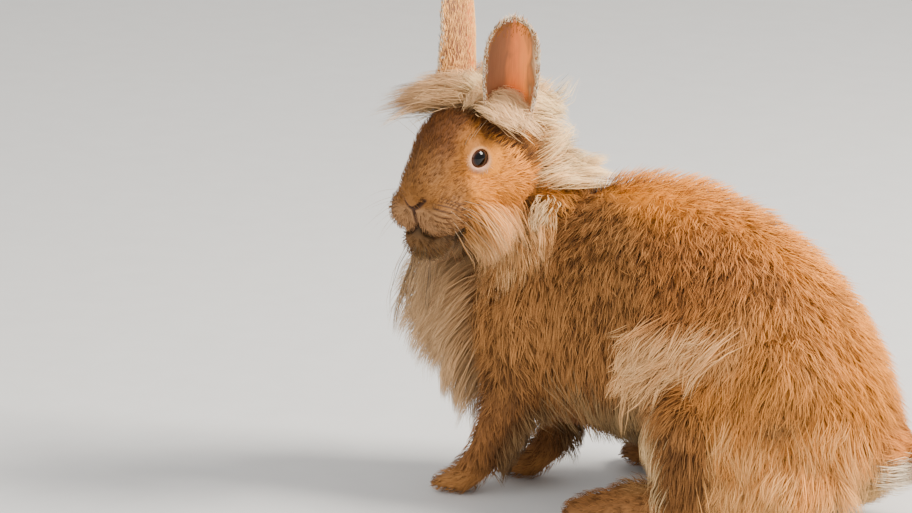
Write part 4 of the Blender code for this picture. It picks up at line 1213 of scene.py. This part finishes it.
# %% Materials of the coat and the skin
def add(tree, kind, settings=(), **links):
    """Adds a node, sets what is given and links its inputs: a link is a socket of another node."""
    node = tree.nodes.new(kind)
    for name, value in dict(settings).items():
        if name in node.inputs:
            node.inputs[name].default_value = value
        else:
            setattr(node, name, value)
    for name, source in links.items():
        tree.links.new(source, node.inputs[int(name[1:])] if name[0] == "i" else node.inputs[name])
    return node


def principled(name, roughness, **more):
    made = bpy.data.materials.new(name)
    made.use_nodes = True
    shader = made.node_tree.nodes["Principled BSDF"]
    shader.inputs["Roughness"].default_value = roughness
    for socket, value in more.items():
        shader.inputs[socket.replace("_", " ")].default_value = value
    return made, made.node_tree, shader


def set_stops(node, stops):
    """Colours of a colour ramp, each with its place."""
    elements = node.color_ramp.elements
    while len(elements) < len(stops):
        elements.new(0.5)
    for stop, (place, colour) in zip(elements, stops):
        stop.position = place
        stop.color = (*linear(colour), 1.0)


def hair(name, root_undercolour_and_shade, sheen):
    """Hair: keratin, soft and matt, darker at the root by its undercolour and painted shade, with tips lit by
    a painted highlight.
    """
    shine = {"Sheen_Weight": sheen, "Sheen_Roughness": 0.5, "Specular_IOR_Level": 0.12}
    made, tree, shader = principled(name, 0.65, **shine)
    names = ("marking", "along", "chance")
    marking, along, chance = (add(tree, "ShaderNodeAttribute", {"attribute_name": label}) for label in names)
    # Along the tuft: painted shade over the undercolour at the root, rising to a painted highlight at the
    # tip.
    tones = {"From Max": 0.85, "To Min": root_undercolour_and_shade, "To Max": 1.15}
    rise = add(tree, "ShaderNodeMapRange", tones, i0=along.outputs["Fac"])
    vary = add(tree, "ShaderNodeMapRange", {"To Min": 0.74, "To Max": 1.20}, i0=chance.outputs["Fac"])
    both = add(tree, "ShaderNodeMath", {"operation": "MULTIPLY"}, i0=rise.outputs[0], i1=vary.outputs[0])
    tone = add(tree, "ShaderNodeHueSaturation", Value=both.outputs[0], Color=marking.outputs["Color"])
    tree.links.new(tone.outputs["Color"], shader.inputs["Base Color"])
    return made


def rabbit_skin():
    """Skin under the coat: matt, in the coat's own colour but darker, as it lies in its shade."""
    made, tree, shader = principled("rabbit_skin", 0.8)
    marking = add(tree, "ShaderNodeAttribute", {"attribute_name": "marking"})
    place = add(tree, "ShaderNodeTexCoord")
    # The grain is about a millimetre, coarser than real pores, so that it shows between the tufts.
    grain = add(tree, "ShaderNodeTexNoise", {"Scale": 900.0, "Detail": 3.0}, Vector=place.outputs["Object"])
    dark = add(tree, "ShaderNodeMapRange", {"To Min": 0.55, "To Max": 0.95}, i0=grain.outputs["Fac"])
    coloured = {"Value": dark.outputs[0], "Color": marking.outputs["Color"]}
    tone = add(tree, "ShaderNodeHueSaturation", {"Saturation": 1.05}, **coloured)
    tree.links.new(tone.outputs["Color"], shader.inputs["Base Color"])
    bump = add(tree, "ShaderNodeBump", {"Strength": 0.35, "Distance": 0.0006}, Height=grain.outputs["Fac"])
    tree.links.new(bump.outputs["Normal"], shader.inputs["Normal"])
    return made


skin.data.materials.clear()
skin.data.materials.append(rabbit_skin())

# %% [markdown]
# Eyes
# A rabbit's eye is a dark brown, wet ball with a wide pupil. The ball is turned on a lathe and its
# colour runs from the pupil to the rim of the iris with the distance from the axis.

# %% Eyeballs
def eyeball(side):
    bm = bmesh.new()
    bmesh.ops.create_uvsphere(bm, u_segments=64, v_segments=48, radius=EYE_RADIUS)
    for vertex in bm.verts:
        bulge = max(0.0, vertex.co.z / EYE_RADIUS - 0.72)
        vertex.co.z += 0.0022 * bulge
    tilt = np.array([math.hypot(v.co.x, v.co.y) / EYE_RADIUS for v in bm.verts])
    bm.transform(HEAD @ eye_place(side))
    made = object_of(bm, "eyeball_" + SIDE_NAME[side])
    made.data.shade_smooth()
    store_value(made, "tilt", tilt)
    return made


def wet_eye():
    """The wet front of an eye: black pupil, brown iris, dark rim, high gloss."""
    made, tree, shader = principled("wet_eye", 0.05, Coat_Weight=0.1, Coat_Roughness=0.02, IOR=1.34)
    tilt = add(tree, "ShaderNodeAttribute", {"attribute_name": "tilt"})
    ring = add(tree, "ShaderNodeValToRGB", i0=tilt.outputs["Fac"])
    pupil = ((0.0, "#030202"), (0.46, "#050303"))
    iris = ((0.53, "#20100A"), (0.64, "#4A2814"))
    rim = ((0.72, "#150A06"), (0.82, "#6B4A40"))
    set_stops(ring, pupil + iris + rim)
    tree.links.new(ring.outputs["Color"], shader.inputs["Base Color"])
    return made


WET_EYE = wet_eye()
eyes = {side: eyeball(side) for side in SIDES}
for ball in eyes.values():
    ball.data.materials.append(WET_EYE)
print("eyeballs:", len(eyes))

# %% [markdown]
# Ears
# Each ear is a leaf of thin skin, rolled into a tube at its root and open to a cup above. A grid is
# bent to that form, then Solidify gives it thickness. The inside is bare, the back furred.

# %% Ear leaves
EAR_LENGTH = 0.0850
EAR_WIDTH = {LEFT: 0.0310, RIGHT: 0.0360}
EAR_ROOT = (-0.0204, 0.0152, 0.008)
EAR_TURN = {LEFT: math.radians(40), RIGHT: math.radians(82)}
EAR_LEAN = {LEFT: (0.16, 0.375), RIGHT: (-0.38, 0.14)}


def ear_axes(side):
    up = on_side((*EAR_LEAN[side], 1.0), side).normalized()
    facing = on_side((math.cos(EAR_TURN[side]), math.sin(EAR_TURN[side]), 0.0), side)
    opening = (facing - up * facing.dot(up)).normalized()
    return up, opening, up.cross(opening)


def ear_curl(side, share):
    """Middle of the tube that the leaf is rolled round, its radius and half its angle."""
    up, opening = ear_axes(side)[:2]
    swell = 0.50 + 0.50 * math.sin(math.pi / 2 * min(1.0, share / 0.58))
    end = max(0.0, (share - 0.58) / 0.42)
    half = EAR_WIDTH[side] / 2 * swell * (0.12 + 0.88 * math.sqrt(max(0.0, 1.0 - end ** 3.2)))
    wrap = math.radians(112 - 66 * min(1.0, share / 0.62))
    radius = half / math.sin(min(wrap, math.pi / 2))
    return on_side(EAR_ROOT, side) + up * (EAR_LENGTH * share) + opening * (radius - 0.006), radius, wrap


def ear_point(side, across_share, share):
    """A point of the leaf: across from -1 to 1 and along from 0 to 1, in the head's frame."""
    opening, across = ear_axes(side)[1:]
    middle, radius, wrap = ear_curl(side, share)
    angle = across_share * wrap
    return middle + across * (radius * math.sin(angle)) - opening * (radius * math.cos(angle))


def ear_leaf(side):
    bm = bmesh.new()
    bmesh.ops.create_grid(bm, x_segments=28, y_segments=48, size=1.0)
    place = {v: (v.co.x, (v.co.y + 1) / 2) for v in bm.verts}
    for vertex, (across_share, share) in place.items():
        vertex.co = ear_point(side, across_share, share)
    opening = ear_axes(side)[1]
    bmesh.ops.recalc_face_normals(bm, faces=bm.faces)
    bm.faces.ensure_lookup_table()
    middle = bm.faces[len(bm.faces) // 2]
    if middle.normal.dot(opening) < 0:
        bmesh.ops.reverse_faces(bm, faces=bm.faces)
    rows = list(place.values())
    bm.transform(HEAD)
    made = object_of(bm, "ear_" + SIDE_NAME[side] + "_leaf")
    store_value(made, "outward", [-side * row[0] for row in rows])
    store_value(made, "up_ear", [row[1] for row in rows])
    unwrap(made)
    wall = made.modifiers.new("wall", "SOLIDIFY")
    wall.thickness = 0.0014
    wall.offset = 0.0
    wall.material_offset = 1
    wall.material_offset_rim = 1
    made.modifiers.new("split", "TRIANGULATE")
    apply_modifiers(made)
    made.data.shade_smooth()
    return made


def bare_ear_skin():
    """Thin bare skin with light behind it: brown in its shaded half, glowing orange in the other."""
    made, tree, shader = principled("bare_ear_skin", 0.55, Subsurface_Weight=0.2, Subsurface_Scale=0.003)
    names = ("outward", "up_ear")
    across, along = (add(tree, "ShaderNodeAttribute", {"attribute_name": label}) for label in names)
    place = add(tree, "ShaderNodeCombineXYZ", X=across.outputs["Fac"], Y=along.outputs["Fac"])
    cloudy = {"Scale": 3.5, "Detail": 4.0, "Distortion": 0.5}
    blotch = add(tree, "ShaderNodeTexNoise", cloudy, Vector=place.outputs[0])
    stretch = add(tree, "ShaderNodeMapping", {"Scale": (26.0, 2.5, 1.0)}, Vector=place.outputs[0])
    streak = add(tree, "ShaderNodeTexNoise", {"Scale": 1.0, "Detail": 3.0}, Vector=stretch.outputs[0])
    wander = add(tree, "ShaderNodeMath", {"operation": "MULTIPLY"}, i0=blotch.outputs["Fac"])
    wander.inputs[1].default_value = 0.7
    moved = add(tree, "ShaderNodeMath", {"operation": "ADD"}, i0=across.outputs["Fac"], i1=wander.outputs[0])
    spread = add(tree, "ShaderNodeMapRange", {"From Min": -0.65, "From Max": 1.35}, i0=moved.outputs[0])
    tone = add(tree, "ShaderNodeValToRGB", i0=spread.outputs[0])
    # The ramp is painted light: shade over the inner half, a painted glow of light through the skin on the
    # outer half, painted shade again just inside the rim, and the rim's pale fur at its very edge.
    shaded = ((0.0, "#9A6C46"), (0.10, "#74482C"), (0.40, "#90542F"))
    lit = ((0.58, "#E87A30"), (0.76, "#F48C38"), (0.88, "#9A6438"), (1.0, "#E4C498"))
    set_stops(tone, shaded + lit)
    shade = add(tree, "ShaderNodeMapRange", {"To Min": 0.78, "To Max": 1.16}, i0=streak.outputs["Fac"])
    mixed = add(tree, "ShaderNodeHueSaturation", Value=shade.outputs[0], Color=tone.outputs["Color"])
    tree.links.new(mixed.outputs["Color"], shader.inputs["Base Color"])
    return made


def furred_ear_back():
    """Skin of the back of an ear: dull and brown, almost hidden by its fur, with a 1.4 mm grain."""
    made, tree, shader = principled("furred_ear_back", 0.8)
    place = add(tree, "ShaderNodeTexCoord")
    grain = add(tree, "ShaderNodeTexNoise", {"Scale": 700.0, "Detail": 3.0}, Vector=place.outputs["Object"])
    tone = add(tree, "ShaderNodeValToRGB", i0=grain.outputs["Fac"])
    set_stops(tone, ((0.0, "#9A6334"), (1.0, "#D59C62")))
    tree.links.new(tone.outputs["Color"], shader.inputs["Base Color"])
    return made


EAR_INSIDE, EAR_BACK = bare_ear_skin(), furred_ear_back()
ears = {side: ear_leaf(side) for side in SIDES}
for leaf in ears.values():
    leaf.data.materials.append(EAR_INSIDE)
    leaf.data.materials.append(EAR_BACK)
print("ear leaves:", [len(leaf.data.polygons) for leaf in ears.values()])

# %% [markdown]
# Fur of the ears
# Short fur lies up the back of each ear, and a pale row of fine hair stands out along its rim. The
# cup itself has only a few thin hairs near its edges, so its bare skin shows.

# %% Fur on the ears' backs and rims
def ear_rows(side):
    """For each vertex of a leaf: place across, share along, and the way out from its tube."""
    leaf = ears[side]
    found = []
    for label in ("outward", "up_ear"):
        rows = np.empty(len(leaf.data.vertices), np.float32)
        leaf.data.attributes[label].data.foreach_get("value", rows)
        found.append(rows)
    middles = np.array([HEAD @ ear_curl(side, float(share))[0] for share in found[1]])
    return found[0], found[1], unit(vertex_rows(leaf)[0] - middles)


EAR_FUR_RISE = 0.0004
FURRED_EDGE = {LEFT: (0.84, 0.96), RIGHT: (0.56, 0.86)}
FUR = {
    "back": (3300, 0.0052, 0.00060, 0.08, 0.15, "ear"),
    "rim": (1600, 0.0034, 0.00042, 0.18, 0.0, "tail_under"),
}


def ear_fur(side, part):
    """Fur over the back of an ear, or along its rim, where it spreads more to the sides."""
    count, length, width, spread, dark, tint = FUR[part]
    leaf = ears[side]
    outward, share, out_of_tube = ear_rows(side)
    back = ramp((vertex_rows(leaf)[1] * out_of_tube).sum(1), 0.1, 0.6)
    back = np.maximum(back, 0.9 * ramp(np.abs(outward), *FURRED_EDGE[side]))
    back = np.maximum(back, 0.7 * ramp(share, 0.80, 0.93)) * ramp(share, 0.10, 0.20)
    rim = np.maximum(ramp(np.abs(outward), 0.90, 0.99), ramp(share, 0.955, 0.99)) * ramp(share, 0.10, 0.25)
    up, opening = (np.array(turned_by_head(np.array(axis)[None]))[0] for axis in ear_axes(side)[:2])
    roots, out, uv = scatter(leaf, back if part == "back" else rim, count, rng)
    middle = np.array(HEAD @ (on_side(EAR_ROOT, side) + ear_axes(side)[0] * (0.5 * EAR_LENGTH)))
    aside = unit((roots - middle) - np.outer((roots - middle) @ opening, opening))
    way = up + aside * spread + out * 0.05
    flat = turned_within(laid_flat(way, out), out, rng.normal(0, 0.2, count))
    lengths = length * rng.uniform(0.6, 1.2, count)
    shares = np.linspace(0, 1, 3)
    lines = roots[:, None] + flat[:, None] * (lengths[:, None] * shares)[..., None]
    rise = EAR_FUR_RISE * np.sin(shares * math.pi / 2) * rng.uniform(0.5, 1.3, (count, 1))
    lines = lines + out[:, None] * rise[..., None]
    lines[:, 0] -= out * EAR_FUR_RISE
    colour = ticked(np.tile(TINT[tint], (count, 1)), roots, dark, rng.normal(0, 0.3, count))
    if part == "back":
        colour = painted(colour, ("face", ramp(out @ opening, 0.2, 0.6)))
    name = "ear_%s_%s" % (part, SIDE_NAME[side])
    widths = width * rng.uniform(0.7, 1.3, count)
    stamp(name, lines, unit(np.cross(out, flat)), widths, out, uv, colour, colour, rng)


for side in SIDES:
    ear_fur(side, "back")
    ear_fur(side, "rim")

# %% [markdown]
# Whiskers and claws
# Whiskers are stiff tapered bristles in three rows on each pad, with a few over each eye. Claws are
# short curved horn cones, of which only the tips show beyond the fur of the toes.

# %% Whiskers and claws
def bristle(bm, root, way, length, thickness, droop):
    """A tapered bristle that bends down by its droop."""
    ahead = way.normalized()
    side_way = ahead.cross(Vector((0, 0, 1))).normalized()
    rings = 9
    last = None
    for i in range(rings + 1):
        share = i / rings
        centre = root + ahead * (length * share) + Vector((0, 0, -droop * length * share * share))
        radius = thickness / 2 * (1 - 0.93 * share)
        upright = side_way.cross(ahead)
        angles = [math.tau * k / 4 for k in range(4)]
        corners = [side_way * math.cos(angle) + upright * math.sin(angle) for angle in angles]
        ring = [bm.verts.new(centre + corner * radius) for corner in corners]
        if last:
            for k in range(4):
                bm.faces.new((last[k], last[(k + 1) % 4], ring[(k + 1) % 4], ring[k]))
        else:
            bm.faces.new(ring[::-1])
        last = ring
    bm.faces.new(last)


def whiskers():
    bm = bmesh.new()
    picker = np.random.default_rng(5)
    for side in SIDES:
        for row in range(3):
            for place in range(3):
                root = on_side((0.044 - 0.0042 * place, 0.0125 + 0.0030 * place, -0.006 - 0.0030 * row), side)
                ahead = 0.30 - 0.28 * place + picker.uniform(-0.1, 0.1)
                way = on_side((ahead, 1.0, -0.10 - 0.30 * row + picker.uniform(-0.1, 0.1)), side)
                length = 0.030 + 0.007 * place + picker.uniform(-0.004, 0.006)
                bristle(bm, root, way, length, 0.00028, 0.25)
        for place in range(3):
            root = on_side((0.020 - 0.004 * place, 0.0165, 0.0205), side)
            bristle(bm, root, on_side((0.25 - 0.2 * place, 0.7, 0.9), side), 0.022, 0.00028, 0.10)
    bmesh.ops.recalc_face_normals(bm, faces=bm.faces)
    bm.transform(HEAD)
    made = object_of(bm, "whiskers")
    made.data.shade_smooth()
    return made


CLAW_LENGTH = 0.0065
CLAW_WIDTH = 0.0019
CLAW_TIP = 0.0004


def claw(bm, root, way):
    """A horn cone along +X, bent down, then turned to its toe."""
    part = bmesh.new()
    upright = Matrix.Translation((CLAW_LENGTH / 2, 0, 0)) @ Matrix.Rotation(math.pi / 2, 4, "Y")
    shape = {"radius1": CLAW_WIDTH / 2, "radius2": CLAW_TIP / 2, "depth": CLAW_LENGTH}
    bmesh.ops.create_cone(part, cap_ends=True, segments=10, matrix=upright, **shape)
    for ring in range(1, 5):
        cut = part.verts[:] + part.edges[:] + part.faces[:]
        bmesh.ops.bisect_plane(part, geom=cut, plane_co=(CLAW_LENGTH * ring / 5, 0, 0), plane_no=(1, 0, 0))
    for vertex in part.verts:
        vertex.co.z -= 26.0 * vertex.co.x ** 2
    part.transform(Matrix.Translation(root) @ way.to_track_quat("X", "Z").to_matrix().to_4x4())
    pour(part, bm)


def claws():
    bm = bmesh.new()
    for side in SIDES:
        fore = Vector((-0.0118 + 0.95 * FORELEG_REACH[side], side * FOREFOOT_SPREAD / 2, 0.0060))
        hind = Vector((0.0790, side * HINDFOOT_SPREAD / 2, 0.0085))
        for place in TOES:
            claw(bm, fore + toe_step(place, FORE_TOES), Vector((-1.0, 0.06 * place, -0.12)))
            claw(bm, hind + toe_step(place, HIND_TOES), Vector((-1.0, 0.05 * place, -0.16)))
    bmesh.ops.recalc_face_normals(bm, faces=bm.faces)
    made = object_of(bm, "claws")
    made.data.shade_smooth()
    return made


def plain(name, roughness, colour):
    made, _, shader = principled(name, roughness)
    shader.inputs["Base Color"].default_value = (*linear(colour), 1.0)
    return made


# Bristle is the same keratin as hair, stiff and smooth, pale with a warm cast.
bristles = whiskers()
bristles.data.materials.append(plain("whisker_bristle", 0.4, "#BFA583"))
# Horn is smooth and grey-brown, with a soft shine.
toe_claws = claws()
toe_claws.data.materials.append(plain("claw_horn", 0.35, "#6A5343"))
print("whiskers and claws:", len(bristles.data.polygons), len(toe_claws.data.polygons))

# %% [markdown]
# Dress the coat
# The cream mane, beard, bib, locks and fringe let light through to their roots, so they are given
# less painted shade there than the dense orange coat.

# %% Materials on the tufts
PALE = {
    "bib", "bib_front", "belly_hair", "shoulder_tufts", "nape_mane", "ruff",
    "forelock_far", "forelock_near", "forelock_wisps", "ear_wisps", "beard", "throat",
    "flank_locks", "fringe", "thigh_edge", "tail_plume", "ear_rim_left", "ear_rim_right",
}
# For each hair: its tone at the root, painted shade over the undercolour, and its sheen.
COAT_HAIR, MANE_HAIR = hair("coat_hair", 0.42, 0.03), hair("mane_hair", 0.92, 0.05)
for piece in coat_pieces:
    piece.data.materials.append(MANE_HAIR if piece.name in PALE else COAT_HAIR)

# %% [markdown]
# Floor and light
# A pale floor and large soft lamps let the coat's own colours show. The key light comes from above
# and behind the back, as daylight does, and a broad weak one fills the face.

# %% Studio
def studio():
    bm = bmesh.new()
    bmesh.ops.create_grid(bm, x_segments=1, y_segments=1, size=6.0)
    floor = object_of(bm, "floor")
    # Paper is matt and almost white, with a faint mottle of 25 mm, coarser than real fibres.
    paper, tree, shader = principled("studio_paper", 0.9)
    place = add(tree, "ShaderNodeTexCoord")
    grain = add(tree, "ShaderNodeTexNoise", {"Scale": 40.0, "Detail": 4.0}, Vector=place.outputs["Object"])
    tone = add(tree, "ShaderNodeMapRange", {"To Min": 0.70, "To Max": 0.76}, i0=grain.outputs["Fac"])
    tree.links.new(tone.outputs[0], shader.inputs["Base Color"])
    floor.data.materials.append(paper)
    world = bpy.data.worlds.new("studio")
    world.use_nodes = True
    world.node_tree.nodes["Background"].inputs["Color"].default_value = (1.0, 0.98, 0.95, 1.0)
    world.node_tree.nodes["Background"].inputs["Strength"].default_value = 0.72
    bpy.context.scene.world = world


def lamp(name, place, size, watts, colour):
    data = bpy.data.lights.new(name, "AREA")
    data.size = size
    data.energy = watts
    data.color = colour
    light = bpy.data.objects.new(name, data)
    light.location = place
    light.rotation_euler = (-(Vector(place) - Vector((0, 0, 0.14)))).to_track_quat("-Z", "Y").to_euler()
    bpy.context.scene.collection.objects.link(light)


studio()
lamp("key", (1.25, 0.15, 1.35), 0.7, 86, (1.0, 0.94, 0.84))
lamp("fill", (-0.6, -1.7, 1.2), 1.4, 20, (1.0, 0.98, 0.95))

# %% [markdown]
# Hand the pieces to the frame
# Every piece rides on the one still body, the solids that the pieces stand for are hidden, and all
# of them are moved by the step to the imported model.

# %% Ride and replace
FLESH = [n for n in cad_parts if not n.startswith(("ear_", "eye_"))]
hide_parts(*FLESH)
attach(skin, "root")
for piece in coat_pieces:
    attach(piece, "root")
for piece, finish in ((bristles, "cream_mane"), (toe_claws, "ear_skin")):
    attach(piece, "root")
for side in SIDES:
    name = SIDE_NAME[side]
    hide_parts("eye_" + name)
    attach(eyes[side], "root")
    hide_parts("ear_" + name)
    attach(ears[side], "root")
for piece in (skin, bristles, toe_claws, *coat_pieces, *eyes.values(), *ears.values()):
    piece.data.transform(Matrix.Translation(SHIFT))
bpy.context.view_layer.update()
